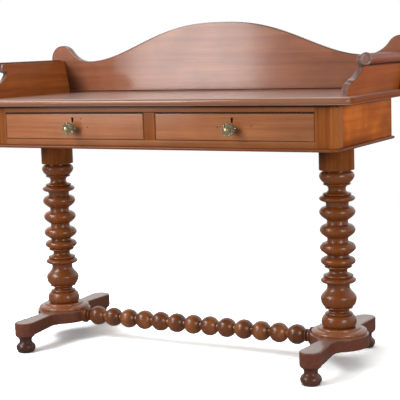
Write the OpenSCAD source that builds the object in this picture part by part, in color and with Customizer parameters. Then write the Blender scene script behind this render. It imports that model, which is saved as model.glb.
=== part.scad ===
// Two-drawer washstand: a timber top with a shaped gallery on a frieze of two flush
// drawers, carried by two ring-turned columns on shaped platforms with bun feet, and
// tied together by a bobbin-turned stretcher.
// The floor is z = 0, the drawers face -Y and +X is to the right seen from the front.

/* [Top board] */
// Height of the top surface above the floor
table_h = 780; // [640:2:960]
// Width of the top board
top_w = 1232; // [1020:2:1500]
// Depth of the top board
top_d = 494; // [400:2:590]
// Thickness of the top board
top_t = 20; // [16:1:26]
// Radius of its two front corners in plan
top_corner_r = 34; // [20:1:60]
// How far it stands out past the drawer fronts
top_front_overhang = 28; // [10:1:40]
// How far it stands out past the frieze at each end
top_end_overhang = 52; // [40:1:70]
// How far it stands out past the frieze at the back
top_back_overhang = 24; // [2:1:30]

/* [Back panel] */
// Thickness of the back panel
panel_t = 18; // [12:1:24]
// Distance from its back face to the back edge of the top
panel_inset = 1; // [0:1:6]
// Height of its crest above the top
panel_crest_h = 214; // [160:1:280]
// Height of its two valleys above the top
panel_valley_h = 102; // [96:1:120]
// Distance from the middle of an ear to the valley beside it
panel_valley_inset = 106; // [90:1:180]
// Radius of the round ear at each end
ear_r = 44; // [38:1:50]
// Distance from the end of the top to the middle of the ear
ear_inset = 24; // [16:1:40]
// Height of the middle of the ear above the valley
ear_rise = 10; // [4:1:20]
// Depth of the strip along the foot of the panel
strip_w = 6; // [4:1:12]
// Height of the strip
strip_h = 8; // [5:1:14]

/* [Side galleries] */
// Thickness of each gallery board
gallery_t = 18; // [12:1:20]
// Distance from the end of the top to the foot of the board's outer face
gallery_inset = 31; // [22:1:34]
// Height of the board, measured along it
gallery_h = 107; // [94:1:118]
// How far the upper edge of the board leans out past its foot
gallery_lean = 18; // [6:1:24]
// Distance from the front edge of the top to the foot of the board
gallery_setback = 53; // [30:1:60]
// Radius of the roll along the outside of the board
roll_r = 14.5; // [11:0.5:15]
// How far the middle of the roll lies outside the board
roll_offset = 9; // [7:0.5:9]
// How far the middle of the roll lies below the upper edge of the board
roll_drop = 6; // [2:0.5:10]
// Radius of the round button that ends the roll
button_r = 17; // [15:0.5:18]
// Thickness of the button
button_t = 5; // [3:0.5:8]
// Radius of the scroll that ends the board's upper edge
scroll_r = 13; // [9:0.5:14]
// Distance from the board's foot to the middle of the scroll
scroll_setback = 91; // [85:1:110]

/* [Frieze] */
// Height of the frieze, moulding included
frieze_h = 125; // [110:1:160]
// Width of each front corner post
post_w = 61; // [50:1:80]
// Depth of the posts, rails and divider
rail_d = 45; // [36:1:60]
// Height of the rail above the drawers
top_rail_h = 20; // [18:1:30]
// Height of the rail below the drawers
bottom_rail_h = 18.5; // [16:0.5:26]
// Width of the divider between the drawers
divider_w = 36.4; // [24:0.2:60]
// Radius of the frieze's front corners
post_corner_r = 18; // [8:1:24]
// Thickness of the end panels and the back board
panel_board_t = 18; // [12:1:20]
// Height of the moulding under the frieze
moulding_h = 8.5; // [6:0.5:12]
// How far the moulding stands out
moulding_out = 9; // [4:0.5:14]

/* [Drawer framing] */
// Width of the board that each column is let into
bearer_w = 130; // [116:1:160]
// Width of the runner behind the divider
centre_runner_w = 96; // [70:1:130]
// Height of the strips that guide the drawer sides
guide_h = 28; // [16:1:40]
// How far the strips above the drawers reach over them
kicker_lap = 15; // [12:1:30]
// Height of the drawer stops
stop_h = 5.5; // [4:0.5:6]
// Side of the square glue blocks under the top
block_s = 20; // [12:1:24]
// Length of a glue block
block_l = 60; // [30:1:90]
// Number of glue blocks on each side of the middle
block_pairs = 2; // [1:1:4]

/* [Drawers] */
// Gap at each side of a drawer front
drawer_side_gap = 1.2; // [0.8:0.1:2]
// Gap above a drawer front
drawer_top_gap = 2.4; // [1.5:0.1:4]
// Gap below a drawer front
drawer_bottom_gap = 0.8; // [0.5:0.1:2]
// Thickness of a drawer front
front_t = 22; // [20:1:26]
// Thickness of the drawer sides
side_t = 10; // [8:1:14]
// Thickness of the drawer back
back_t = 9; // [7:1:12]
// Thickness of the drawer bottom
bottom_t = 6; // [4:0.5:8]
// Space behind a closed drawer
drawer_back_space = 28; // [10:1:60]
// How much lower a drawer side is than the opening
side_drop = 9; // [6:1:16]
// Depth of the grooves and laps
groove_d = 5; // [3:0.5:6]
// Height of the groove above the lower edge of the side
groove_z = 8; // [7:0.5:12]

/* [Knobs and locks] */
// Diameter of a glass knob
knob_d = 40; // [30:1:50]
// Length of a glass knob
knob_len = 38.5; // [28:0.5:46]
// Number of petals round a knob
knob_petals = 8; // [6:1:12]
// Distance from the middle of the keyhole down to the middle of the knob
knob_drop = 24; // [18:0.5:27]
// Diameter of the bolt through a knob
knob_bolt_d = 5; // [4:0.5:6]
// Height of the domed head of that bolt
bolt_head_h = 2.5; // [1.5:0.5:4]
// Distance from the top of the opening down to the middle of the keyhole
keyhole_drop = 21; // [20:0.5:23]
// Diameter of the round end of the keyhole
keyhole_d = 5.4; // [4.6:0.1:5.6]
// Width of its slot
keyhole_slot = 3.4; // [2.6:0.1:3.8]
// Height of the keyhole
keyhole_h = 13; // [10:0.5:14]
// Width of the lock case
lock_w = 56; // [44:1:70]
// Height of the lock case
lock_h = 31; // [28:1:31]
// Depth of the lock case
lock_d = 9; // [7:0.5:10]
// Distance from the edges of the case to its screws
lock_screw_inset = 5; // [4:0.5:7]
// Width of the lock's bolt
lock_bolt_w = 18; // [12:1:24]
// Thickness of the lock's bolt
lock_bolt_t = 4; // [3:0.5:5]
// How far the lock's bolt travels
lock_travel = 7; // [4:0.5:8]

/* [Columns] */
// Distance from the end of the frieze to the middle of a column
column_inset = 88; // [80:1:94]
// Largest radius of the turning
turning_r = 51; // [44:0.5:54]
// Radius of the spigots at both ends of a column
spigot_r = 20; // [14:1:22]
// Length of the spigot in the frieze
top_spigot_l = 18; // [12:1:19]
// Radius of the base disc under a column
disc_r = 80; // [72:1:84]
// Thickness of the base disc
disc_t = 20; // [16:1:26]
// Length of the lower spigot in the platform
bottom_spigot_l = 24; // [14:1:26]

/* [Platforms and feet] */
// Height of the top of a platform above the floor
platform_z = 94; // [86:1:110]
// Thickness of a platform over its feet
platform_t = 40; // [36:1:44]
// Rise of the arch under a platform
arch_rise = 4.5; // [2:0.5:8]
// Distance between the two feet of a platform
foot_spread = 430; // [360:2:460]
// How far the round middle of a platform stands out past the base disc
platform_lip = 5; // [3:0.5:10]
// Radius of its round ends
platform_end_r = 31; // [28:0.5:36]
// Half the width of its waist
platform_waist = 24; // [20:1:28]
// Largest radius of a bun foot
bun_r = 29.8; // [24:0.2:31]
// Radius of the dowel on a foot
foot_dowel_r = 9; // [7:0.5:11]
// Length of the dowel on a foot
foot_dowel_l = 24; // [16:1:28]

/* [Stretcher] */
// Depth of the stretcher's axis below the top of a platform
stretcher_drop = 16; // [13:0.5:19]
// Radius of the balls
ball_r = 29.5; // [24:0.5:31]
// Radius of the necks between the balls
neck_r = 13; // [10:0.5:16]
// Least length of a neck between two balls
neck_l = 4; // [2:0.5:20]
// Length of the turning between the last ball and the platform
end_turning_l = 24.5; // [22:0.5:34]
// Radius of the collar at each end
collar_r = 26; // [20:0.5:26]
// Radius of the tenon at each end
tenon_r = 9; // [7:0.5:11]
// Length of the tenon at each end
tenon_l = 26; // [16:1:30]

/* [Screws and dowels] */
// Radius of the wood screws
screw_r = 2.5; // [1.5:0.25:3]
// Radius of their heads
screw_head_r = 5; // [4:0.25:6]
// Height of their heads
screw_head_h = 3; // [2:0.5:4]
// How far a screw reaches past the thickness of the top
screw_grip = 14; // [8:1:20]
// Wood left above a screw that holds the top
screw_cover = 4; // [3:0.5:6]
// Radius of the dowels that stand the back panel on the top
panel_dowel_r = 4; // [3:0.5:5]
// Length of a dowel in the top
panel_dowel_low = 12; // [8:1:13]
// Length of a dowel in the panel
panel_dowel_high = 25; // [15:1:35]

/* [Fits] */
// Radial clearance round spigots, dowels and tenons
socket_gap = 0.2; // [0.1:0.05:0.4]
// Clearance round pieces that are let in
let_in_gap = 0.2; // [0.1:0.05:0.4]
// Running clearance under the drawers
run_gap = 0.3; // [0.2:0.05:0.5]
// Clearance round the lock's bolt
bolt_gap = 0.4; // [0.3:0.05:0.6]

/* [Hidden] */
$fn = 64;

// depth: the bounding box of the whole object is centred on y = 0
frieze_half_d = (top_d - top_front_overhang - top_back_overhang) / 2;
foot_y = foot_spread / 2;
foot_reach = foot_y + platform_end_r;
front_reach = max(frieze_half_d + max(top_front_overhang, knob_len + bolt_head_h), foot_reach);
back_reach = max(frieze_half_d + top_back_overhang, foot_reach);
mid_y = (front_reach - back_reach) / 2;
front_y = mid_y - frieze_half_d;
frieze_back_y = mid_y + frieze_half_d;
top_front_y = front_y - top_front_overhang;
back_y = frieze_back_y + top_back_overhang;
rail_back_y = front_y + rail_d;
board_back_y = frieze_back_y - panel_board_t;
inside_d = board_back_y - rail_back_y;
panel_back_y = back_y - panel_inset;
panel_front_y = panel_back_y - panel_t;

// height
frieze_top_z = table_h - top_t;
frieze_bottom_z = frieze_top_z - frieze_h;
rail_bottom_z = frieze_bottom_z + moulding_h;
opening_bottom_z = rail_bottom_z + bottom_rail_h;
opening_top_z = frieze_top_z - top_rail_h;
disc_top_z = platform_z + disc_t;
platform_bottom_z = platform_z - platform_t;
column_h = frieze_bottom_z - disc_top_z;
opening_h = opening_top_z - opening_bottom_z;

// width
top_x = top_w / 2;
frieze_x = top_x - top_end_overhang;
board_x = frieze_x - panel_board_t;
post_x = frieze_x - post_w;
divider_x = divider_w / 2;
opening_w = post_x - divider_x;
drawer_x = divider_x + opening_w / 2;
column_x = frieze_x - column_inset;
gallery_x = top_x - gallery_inset;
gallery_inner_x = gallery_x - gallery_t;
gallery_angle = atan2(gallery_lean, gallery_h);
ear_x = top_x - ear_inset;
panel_valley_x = ear_x - panel_valley_inset;

// drawer pieces, about the middle of a drawer
front_w = opening_w - 2 * drawer_side_gap;
front_bottom_z = opening_bottom_z + drawer_bottom_gap;
front_top_z = opening_top_z - drawer_top_gap;
side_bottom_z = opening_bottom_z + run_gap;
side_lap = 8;
inner_x = front_w / 2 - side_t;
bottom_z = side_bottom_z + groove_z;
side_h = opening_h - side_drop;
drawer_back_y = board_back_y - drawer_back_space;
drawer_d = drawer_back_y - front_y;
back_drop = 4;
keyhole_height = opening_top_z - keyhole_drop;
knob_height = keyhole_height - knob_drop;
lock_front_y = front_y + front_t - lock_d;
lock_bottom_z = front_top_z - lock_h;
lock_bolt_y = lock_front_y + lock_d / 2;
lock_bolt_h = 10;
lock_bolt_top_z = front_top_z - 0.2;
mortise_gap = 2;
keyhole_wear = 1;
washer_r = knob_bolt_d;
washer_t = 1;
nut_r = 0.92 * knob_bolt_d;
nut_t = 4;
bolt_tail = 3;
lock_screw_r = 1.4;
lock_screw_head_r = 3;
lock_screw_head_h = 1.5;
lock_screw_grip = 8;
stop_l = 30;
stop_d = 12;

// stretcher
platform_mid_r = disc_r + platform_lip;
collar_x = column_x - disc_r - 0.6;
stretcher_z = platform_z - stretcher_drop;
ball_half = sqrt(ball_r * ball_r - neck_r * neck_r);
end_ball_gap = ball_half + end_turning_l;
ball_span = 2 * (collar_x - end_ball_gap);
ball_count = floor(ball_span / (2 * ball_half + neck_l)) + 1;
ball_step = ball_span / (ball_count - 1);

// screws and dowels: where they stand along the gallery, under the top and along the panel
gallery_screw_ys = [front_y + 50, mid_y, frieze_back_y - 60];
kicker_screw_ys = [mid_y - inside_d / 4, mid_y + inside_d / 4];
top_screw_z = table_h - screw_cover - top_t - screw_grip;
panel_dowel_xs = [-0.86, -0.3, 0.3, 0.86] * panel_valley_x;

// ---- outlines -------------------------------------------------------------------

// points on an arc about [cx, cy] from angle a0 to a1
function arc(cx, cy, r, a0, a1, n) =
    [for (i = [0 : n]) let (a = a0 + (a1 - a0) * i / n) [cx + r * cos(a), cy + r * sin(a)]];

// a line of points seen in a mirror across the vertical axis, in reverse order
function across(points) = [for (i = [len(points) - 1 : -1 : 0]) [-points[i][0], points[i][1]]];

// half a bead from its peak to its neck, as [radius, height] pairs:
// "round" ends square to the neck, "slope" ends at a slant and "ogee" runs out along it
function half_bead(peak_z, peak_r, neck_z, neck_r, kind, n = 6) =
    [for (i = [0 : n]) let (u = i / n)
        kind == "round" ?
            [neck_r + (peak_r - neck_r) * cos(90 * u), peak_z + (neck_z - peak_z) * sin(90 * u)] :
        kind == "slope" ? [neck_r + (peak_r - neck_r) * cos(90 * u), peak_z + (neck_z - peak_z) * u] :
        [neck_r + (peak_r - neck_r) * (1 + cos(180 * u)) / 2, peak_z + (neck_z - peak_z) * u]];

function backwards(points) = [for (i = [len(points) - 1 : -1 : 0]) points[i]];

// a whole bead, from the neck below to the neck above
function bead(low_z, low_r, low_kind, peak_z, peak_r, high_z, high_r, high_kind) = concat(
    backwards(half_bead(peak_z, peak_r, low_z, low_r, low_kind)),
    [for (i = [1 : 6]) half_bead(peak_z, peak_r, high_z, high_r, high_kind)[i]]);

// a hollow between two edges, deepest at the middle
function cove(low_z, low_r, high_z, high_r, deep_r, n = 8) =
    [for (i = [0 : n]) let (u = i / n, edge = low_r + (high_r - low_r) * u, s = 2 * u - 1)
        [edge - (edge - deep_r) * sqrt(1 - s * s), low_z + (high_z - low_z) * u]];

// ---- top and gallery ------------------------------------------------------------

module top_board() {
    nose = top_t / 2;
    corner_x = top_x - top_corner_r;
    corner_y = top_front_y + top_corner_r;
    color("#8a5238")
    difference() {
        union() {
            translate([0, 0, frieze_top_z])
            linear_extrude(top_t) {
                translate([-corner_x, top_front_y + nose])
                square([2 * corner_x, top_d - nose]);
                translate([-top_x + nose, corner_y])
                square([2 * (top_x - nose), back_y - corner_y]);
                for (side = [-1, 1])
                    translate([side * corner_x, corner_y])
                    circle(top_corner_r - nose);
            }
            translate([-corner_x, top_front_y + nose, frieze_top_z + nose])
            rotate([0, 90, 0])
            cylinder(h = 2 * corner_x, r = nose);
            for (side = [-1, 1])
                translate([side * (top_x - nose), corner_y, frieze_top_z + nose])
                rotate([-90, 0, 0])
                cylinder(h = back_y - corner_y, r = nose);
            for (side = [0, 1])
                mirror([side, 0, 0])
                translate([corner_x, corner_y, frieze_top_z + nose])
                rotate([0, 0, -90])
                rotate_extrude(angle = 90)
                translate([top_corner_r - nose, 0])
                circle(nose);
        }
        top_screws_at();
        panel_dowels_at();
    }
}

// the panel's upper edge from the middle to the valley, as [x, height above the top]
function crest_curve(n) =
    [for (i = [0 : n]) let (u = i / n, s = pow(u, 1.25))
        [panel_valley_x * u, panel_valley_h + (panel_crest_h - panel_valley_h) * (1 + cos(180 * s)) / 2]];

// half of the panel's outline: crest, valley, a hollow tangent to the ear, then the ear
function panel_half() =
    let (dx = ear_x - panel_valley_x,
        r = (dx * dx + ear_rise * ear_rise - ear_r * ear_r) / (2 * (ear_r + ear_rise)),
        turn = atan2(dx, r - ear_rise),
        neck_x = ear_x + 12,
        below = acos(12 / ear_r))
    concat(crest_curve(24),
        [for (i = [1 : 8]) let (a = -90 + turn * i / 8)
            [panel_valley_x + r * cos(a), panel_valley_h + r + r * sin(a)]],
        [for (i = [1 : 18]) let (a = 90 + turn - (90 + turn + below) * i / 18)
            [ear_x + ear_r * cos(a), panel_valley_h + ear_rise + ear_r * sin(a)]],
        [[neck_x, 0]]);

module back_panel() {
    color("#93583c")
    difference() {
        translate([0, panel_back_y, table_h])
        rotate([90, 0, 0])
        linear_extrude(panel_t)
        polygon(concat(across(panel_half()), [for (i = [1 : len(panel_half()) - 1]) panel_half()[i]]));
        panel_dowels_at();
    }
}

module panel_strip() {
    color("#7c432b")
    translate([-gallery_inner_x, panel_front_y - strip_w, table_h])
    cube([2 * gallery_inner_x, strip_w, strip_h]);
}

// the gallery board seen from the side, as [distance behind its foot, height above the top]:
// its straight back and upper edge, the scroll, a long hollow, a fillet and a round foot
gallery_l = panel_front_y - top_front_y - gallery_setback;
hollow_r = 97;
foot_round_r = 24;
foot_cut = 8;
gallery_profile = concat(
    [[gallery_l, -foot_cut], [gallery_l, gallery_h], [scroll_setback, gallery_h]],
    arc(scroll_setback, gallery_h - scroll_r, scroll_r, 100, 285, 12),
    arc(foot_round_r, gallery_h + 33, hollow_r, -41, -85, 8),
    [[foot_round_r + 6, gallery_h - 70]],
    arc(foot_round_r, gallery_h - 94, foot_round_r, 90, 180, 6),
    [[0, -foot_cut]]);

// leans a piece that is drawn upright outwards, about the inner edge of the board's foot
module leaning() {
    translate([gallery_inner_x, 0, table_h])
    rotate([0, gallery_angle, 0])
    translate([-gallery_inner_x, 0, -table_h])
    children();
}

module gallery_board() {
    difference() {
        leaning()
        translate([gallery_inner_x, top_front_y + gallery_setback, table_h])
        rotate([90, 0, 90])
        linear_extrude(gallery_t)
        polygon(gallery_profile);
        translate([gallery_inner_x - foot_cut, top_front_y, table_h - 3 * foot_cut])
        cube([gallery_t + 3 * foot_cut, top_d, 3 * foot_cut]);
        top_screws_at();
    }
}

module gallery_left() {
    color("#7a3f22")
    mirror([1, 0, 0])
    gallery_board();
}

module gallery_right() {
    color("#7a3f22")
    gallery_board();
}

// half-round against the outer face of the board, with a whole round button in front
module gallery_roll() {
    roll_z = table_h + gallery_h - roll_drop;
    roll_front_y = top_front_y + gallery_setback + scroll_setback - scroll_r;
    roll_l = panel_front_y - roll_front_y;
    leaning() {
        difference() {
            translate([gallery_x + roll_offset, roll_front_y, roll_z])
            rotate([-90, 0, 0])
            cylinder(h = roll_l, r = roll_r);
            translate([gallery_x - 2 * roll_r, roll_front_y - 1, roll_z - 2 * roll_r])
            cube([2 * roll_r, roll_l + 2, 4 * roll_r]);
        }
        translate([gallery_x + roll_offset, roll_front_y - button_t, roll_z])
        rotate([-90, 0, 0])
        cylinder(h = button_t, r = button_r);
    }
}

module gallery_roll_left() {
    color("#8a4526")
    mirror([1, 0, 0])
    gallery_roll();
}

module gallery_roll_right() {
    color("#8a4526")
    gallery_roll();
}

// a wood screw that points up, its head on z = 0
module screw() {
    cylinder(h = screw_head_h, r1 = screw_head_r, r2 = screw_r);
    cylinder(h = top_t + screw_grip, r = screw_r);
}

// screws up through the overhang into the gallery boards and up through the kickers into the top
module top_screws_at() {
    for (side = [-1, 1], y = gallery_screw_ys)
        translate([side * (gallery_x - gallery_t / 2), y, frieze_top_z])
        screw();
    for (x = kicker_xs, y = kicker_screw_ys)
        translate([x, y, top_screw_z])
        screw();
}

module top_screws() {
    color("#8c8577")
    top_screws_at();
}

module panel_dowels_at() {
    for (x = panel_dowel_xs)
        translate([x, panel_back_y - panel_t / 2, table_h - panel_dowel_low])
        cylinder(h = panel_dowel_low + panel_dowel_high, r = panel_dowel_r);
}

module panel_dowels() {
    color("#b08a60")
    panel_dowels_at();
}

// ---- frieze ---------------------------------------------------------------------

module top_rail() {
    color("#84492d")
    difference() {
        translate([-post_x, front_y, opening_top_z])
        cube([2 * post_x, rail_d, top_rail_h]);
        for (side = [-1, 1])
            translate([side * drawer_x - lock_bolt_w / 2 - mortise_gap,
                lock_bolt_y - lock_bolt_t / 2 - mortise_gap, opening_top_z - 1])
            cube([lock_bolt_w + 2 * mortise_gap, lock_bolt_t + 2 * mortise_gap,
                lock_travel + mortise_gap + 1]);
    }
}

module bottom_rail() {
    color("#84492d")
    translate([-post_x, front_y, rail_bottom_z])
    cube([2 * post_x, rail_d, bottom_rail_h]);
}

module divider() {
    color("#8d5130")
    translate([-divider_x, front_y, opening_bottom_z])
    cube([divider_w, rail_d, opening_h]);
}

module corner_post() {
    translate([0, 0, rail_bottom_z])
    linear_extrude(frieze_top_z - rail_bottom_z) {
        translate([post_x, front_y])
        square([post_w - post_corner_r, rail_d]);
        translate([post_x, front_y + post_corner_r])
        square([post_w, rail_d - post_corner_r]);
        translate([frieze_x - post_corner_r, front_y + post_corner_r])
        circle(post_corner_r);
    }
}

module corner_post_left() {
    color("#8d5130")
    mirror([1, 0, 0])
    corner_post();
}

module corner_post_right() {
    color("#8d5130")
    corner_post();
}

module end_panel() {
    translate([board_x, rail_back_y, rail_bottom_z])
    cube([panel_board_t, frieze_back_y - rail_back_y, frieze_top_z - rail_bottom_z]);
}

module end_panel_left() {
    color("#9a5428")
    mirror([1, 0, 0])
    end_panel();
}

module end_panel_right() {
    color("#9a5428")
    end_panel();
}

module frieze_back() {
    color("#a07a52")
    translate([-board_x, board_back_y, rail_bottom_z])
    cube([2 * board_x, panel_board_t, frieze_top_z - rail_bottom_z]);
}

// the moulding's section: a flat strip with a half-round nose, its inner edge on x = 0
module moulding_section() {
    nose = moulding_h / 2;
    square([panel_board_t + moulding_out - nose, moulding_h]);
    translate([panel_board_t + moulding_out - nose, nose])
    circle(nose);
}

// the right-hand corner of the moulding, worked round the post
module moulding_corner() {
    translate([frieze_x - post_corner_r, front_y + post_corner_r, frieze_bottom_z])
    rotate([0, 0, -90])
    rotate_extrude(angle = 90)
    intersection() {
        translate([post_corner_r - panel_board_t, 0])
        moulding_section();
        square([post_corner_r + moulding_out + 1, moulding_h]);
    }
}

module moulding_front() {
    run = frieze_x - post_corner_r;
    color("#7c432b") {
        translate([-run, front_y + panel_board_t, frieze_bottom_z])
        rotate([90, 0, 90])
        linear_extrude(2 * run)
        mirror([1, 0])
        moulding_section();
        for (side = [0, 1])
            mirror([side, 0, 0])
            moulding_corner();
    }
}

module moulding_end() {
    translate([board_x, frieze_back_y, frieze_bottom_z])
    rotate([90, 0, 0])
    linear_extrude(frieze_back_y - front_y - post_corner_r)
    moulding_section();
}

module moulding_left() {
    color("#7c432b")
    mirror([1, 0, 0])
    moulding_end();
}

module moulding_right() {
    color("#7c432b")
    moulding_end();
}

// ---- framing behind the drawers -------------------------------------------------

module bearer() {
    difference() {
        translate([board_x - bearer_w, rail_back_y, frieze_bottom_z])
        cube([bearer_w, inside_d, opening_bottom_z - frieze_bottom_z]);
        translate([column_x, mid_y, frieze_bottom_z - 1])
        cylinder(h = top_spigot_l + 3, r = spigot_r + socket_gap);
    }
}

module bearer_left() {
    color("#a9825a")
    mirror([1, 0, 0])
    bearer();
}

module bearer_right() {
    color("#a9825a")
    bearer();
}

module centre_runner() {
    color("#a9825a")
    translate([-centre_runner_w / 2, rail_back_y, rail_bottom_z])
    cube([centre_runner_w, inside_d, bottom_rail_h]);
}

module centre_guide() {
    color("#b08a60")
    translate([-divider_x, rail_back_y, opening_bottom_z])
    cube([divider_w, inside_d, guide_h]);
}

module guide() {
    translate([post_x, rail_back_y, opening_bottom_z])
    cube([board_x - post_x, inside_d, guide_h]);
}

module guide_left() {
    color("#b08a60")
    mirror([1, 0, 0])
    guide();
}

module guide_right() {
    color("#b08a60")
    guide();
}

// the strips above the drawer sides: their middles and half widths
kicker_edge = post_x - kicker_lap;
kicker_xs = [-(kicker_edge + board_x) / 2, 0, (kicker_edge + board_x) / 2];
kicker_halves = [(board_x - kicker_edge) / 2, divider_x + kicker_lap, (board_x - kicker_edge) / 2];

module kickers() {
    color("#b08a60")
    difference() {
        for (i = [0 : 2])
            translate([kicker_xs[i] - kicker_halves[i], rail_back_y, opening_top_z])
            cube([2 * kicker_halves[i], inside_d, top_rail_h]);
        top_screws_at();
        for (x = kicker_xs, y = kicker_screw_ys)
            translate([x, y, opening_top_z - 1])
            cylinder(h = top_screw_z - opening_top_z + 1, r = screw_head_r);
    }
}

module drawer_stops() {
    color("#a9825a")
    for (side = [-1, 1], half = [-1, 1])
        translate([side * drawer_x + half * opening_w / 4 - stop_l / 2,
            front_y + front_t + run_gap, opening_bottom_z])
        cube([stop_l, stop_d, stop_h]);
}

module glue_blocks() {
    color("#b08a60")
    for (side = [-1, 1], i = [1 : block_pairs])
        translate([side * (divider_x + opening_w * (i - 0.5) / block_pairs) - block_l / 2,
            board_back_y - block_s, frieze_top_z - block_s])
        cube([block_l, block_s, block_s]);
}

// ---- columns --------------------------------------------------------------------

// the turning was drawn at this height and stretches to the column's own
drawn_h = 521;
drawn_r = 51;
drum_bottom = 452;

turned_profile = concat(
    bead(0, 42, "round", 14, 50, 36, 39, "round"),
    [[38.5, 40]],
    cove(41, 37, 55, 37, 29),
    [[38.3, 57]],
    bead(58, 38.3, "round", 84, 51, 115, 32.4, "ogee"),
    [[32, 120]],
    bead(126.5, 34, "round", 136.6, 50.5, 149, 40, "slope"),
    [[39.4, 151]],
    cove(152.5, 37.5, 173, 37, 25.9),
    bead(176, 38, "slope", 190.5, 50.1, 203, 31.5, "round"),
    bead(208, 30.4, "slope", 228.6, 51, 245, 31.6, "round"),
    [[29.8, 250]],
    bead(257, 29.8, "slope", 279.6, 50.2, 296, 31.6, "round"),
    [[29.8, 301]],
    bead(308, 29.8, "slope", 331.2, 51, 347, 32.6, "round"),
    [[32, 354]],
    bead(361, 34, "round", 370.6, 50.9, 381, 38, "slope"),
    [[37.2, 383.5]],
    cove(385, 35.6, 409.5, 35, 24.8),
    bead(412, 35.8, "slope", 434, 49.8, 446, 39.6, "round"),
    [[39.4, 449.5], [47, 450.3], [49.4, 451]]);

module column() {
    kz = column_h / drawn_h;
    kr = turning_r / drawn_r;
    foot_spigot_l = disc_t + bottom_spigot_l;
    translate([column_x, mid_y, disc_top_z])
    rotate_extrude()
    polygon(concat(
        [[0, -foot_spigot_l], [spigot_r, -foot_spigot_l], [spigot_r, 0]],
        [for (p = turned_profile) [p[0] * kr, p[1] * kz]],
        [[50 * kr, drum_bottom * kz], [50 * kr, column_h]],
        [[spigot_r, column_h], [spigot_r, column_h + top_spigot_l], [0, column_h + top_spigot_l]]));
}

module column_left() {
    color("#6e3a22")
    mirror([1, 0, 0])
    column();
}

module column_right() {
    color("#6e3a22")
    column();
}

module base_disc() {
    step_r = disc_r - 18;
    edge_z = disc_t * 0.3;
    lip_z = disc_t * 0.72;
    translate([column_x, mid_y, platform_z])
    rotate_extrude()
    polygon(concat(
        [[spigot_r + socket_gap, 0], [disc_r - 2, 0]],
        arc(disc_r - edge_z, edge_z, edge_z, -50, 40, 6),
        [[disc_r - 8, lip_z * 0.93], [step_r + 3, lip_z], [step_r, lip_z + 1]],
        [[step_r - 1, disc_t - 1], [step_r - 3, disc_t], [spigot_r + socket_gap, disc_t]]));
}

module base_disc_left() {
    color("#74402a")
    mirror([1, 0, 0])
    base_disc();
}

module base_disc_right() {
    color("#74402a")
    base_disc();
}

// ---- platforms and feet ---------------------------------------------------------

// a quarter of the plan: the round middle, the hollow waist, a straight run and the round end
waist_r = 45;
waist_x = platform_waist + waist_r;
waist_y = sqrt(pow(platform_mid_r + waist_r, 2) - waist_x * waist_x);
run_len = sqrt(waist_x * waist_x + pow(foot_y - waist_y, 2));
run_dir = atan2(foot_y - waist_y, -waist_x) - asin((waist_r + platform_end_r) / run_len);
waist_from = atan2(waist_y, waist_x);
plan_quarter = concat(
    arc(0, 0, platform_mid_r, 0, waist_from, 12),
    arc(waist_x, waist_y, waist_r, 180 + waist_from, run_dir + 90, 8),
    arc(0, foot_y, platform_end_r, run_dir - 90, 90, 10));
plan_half = concat([for (i = [len(plan_quarter) - 1 : -1 : 1]) [plan_quarter[i][0], -plan_quarter[i][1]]],
    plan_quarter);

module platform() {
    difference() {
        translate([column_x, mid_y, 0])
        intersection() {
            translate([0, 0, platform_bottom_z])
            linear_extrude(platform_t)
            polygon(concat(plan_half,
                [for (i = [len(plan_half) - 2 : -1 : 1]) [-plan_half[i][0], plan_half[i][1]]]));
            rotate([90, 0, 90])
            translate([0, 0, -platform_mid_r - 1])
            linear_extrude(2 * platform_mid_r + 2)
            polygon(concat(
                [[foot_y + platform_end_r + 1, platform_z], [-foot_y - platform_end_r - 1, platform_z]],
                [[-foot_y - platform_end_r - 1, platform_bottom_z]],
                [for (i = [-10 : 10]) let (u = i / 10)
                    [u * (foot_y - platform_end_r), platform_bottom_z + arch_rise * (1 - u * u)]],
                [[foot_y + platform_end_r + 1, platform_bottom_z]]));
        }
        translate([column_x, mid_y, platform_z - bottom_spigot_l - 2])
        cylinder(h = bottom_spigot_l + 3, r = spigot_r + socket_gap);
        for (end = [-1, 1])
            translate([column_x, mid_y + end * foot_y, platform_bottom_z - 1])
            cylinder(h = foot_dowel_l + 3, r = foot_dowel_r + socket_gap);
        translate([collar_x - platform_lip, mid_y - platform_mid_r / 2, platform_bottom_z - 1])
        cube([platform_lip, platform_mid_r, platform_t + 2]);
        translate([collar_x - 1, mid_y, stretcher_z])
        rotate([0, 90, 0])
        cylinder(h = tenon_l + 3, r = tenon_r + socket_gap);
    }
}

module platform_left() {
    color("#6a382a")
    mirror([1, 0, 0])
    platform();
}

module platform_right() {
    color("#6a382a")
    platform();
}

// a bun foot: flat tread, bun, neck, a collar that meets the platform's end, then its dowel
module foot(side, end) {
    drawn_foot_h = 54;
    kz = platform_bottom_z / drawn_foot_h;
    shoulder_r = platform_end_r - 1.5;
    color("#5c2f24")
    translate([side * column_x, mid_y + end * foot_y, 0])
    rotate_extrude()
    polygon(concat(
        [[0, 0], [bun_r - 9, 0], [bun_r - 5, 1.5 * kz]],
        [for (i = [0 : 6]) let (a = -60 + 100 * i / 6)
            [bun_r * (0.62 + 0.38 * cos(a)), (17 + 13.5 * sin(a)) * kz]],
        [[bun_r - 7, 30 * kz], [bun_r - 11, 34 * kz], [16.5, 37 * kz], [16.2, 40 * kz], [17.5, 43 * kz]],
        [[21, 46 * kz], [26, 49 * kz], [shoulder_r - 1, 52 * kz], [shoulder_r, platform_bottom_z]],
        [[foot_dowel_r, platform_bottom_z], [foot_dowel_r, platform_bottom_z + foot_dowel_l]],
        [[0, platform_bottom_z + foot_dowel_l]]));
}

module foot_front_left() {
    foot(-1, -1);
}

module foot_front_right() {
    foot(1, -1);
}

module foot_back_left() {
    foot(-1, 1);
}

module foot_back_right() {
    foot(1, 1);
}

// ---- stretcher ------------------------------------------------------------------

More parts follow.
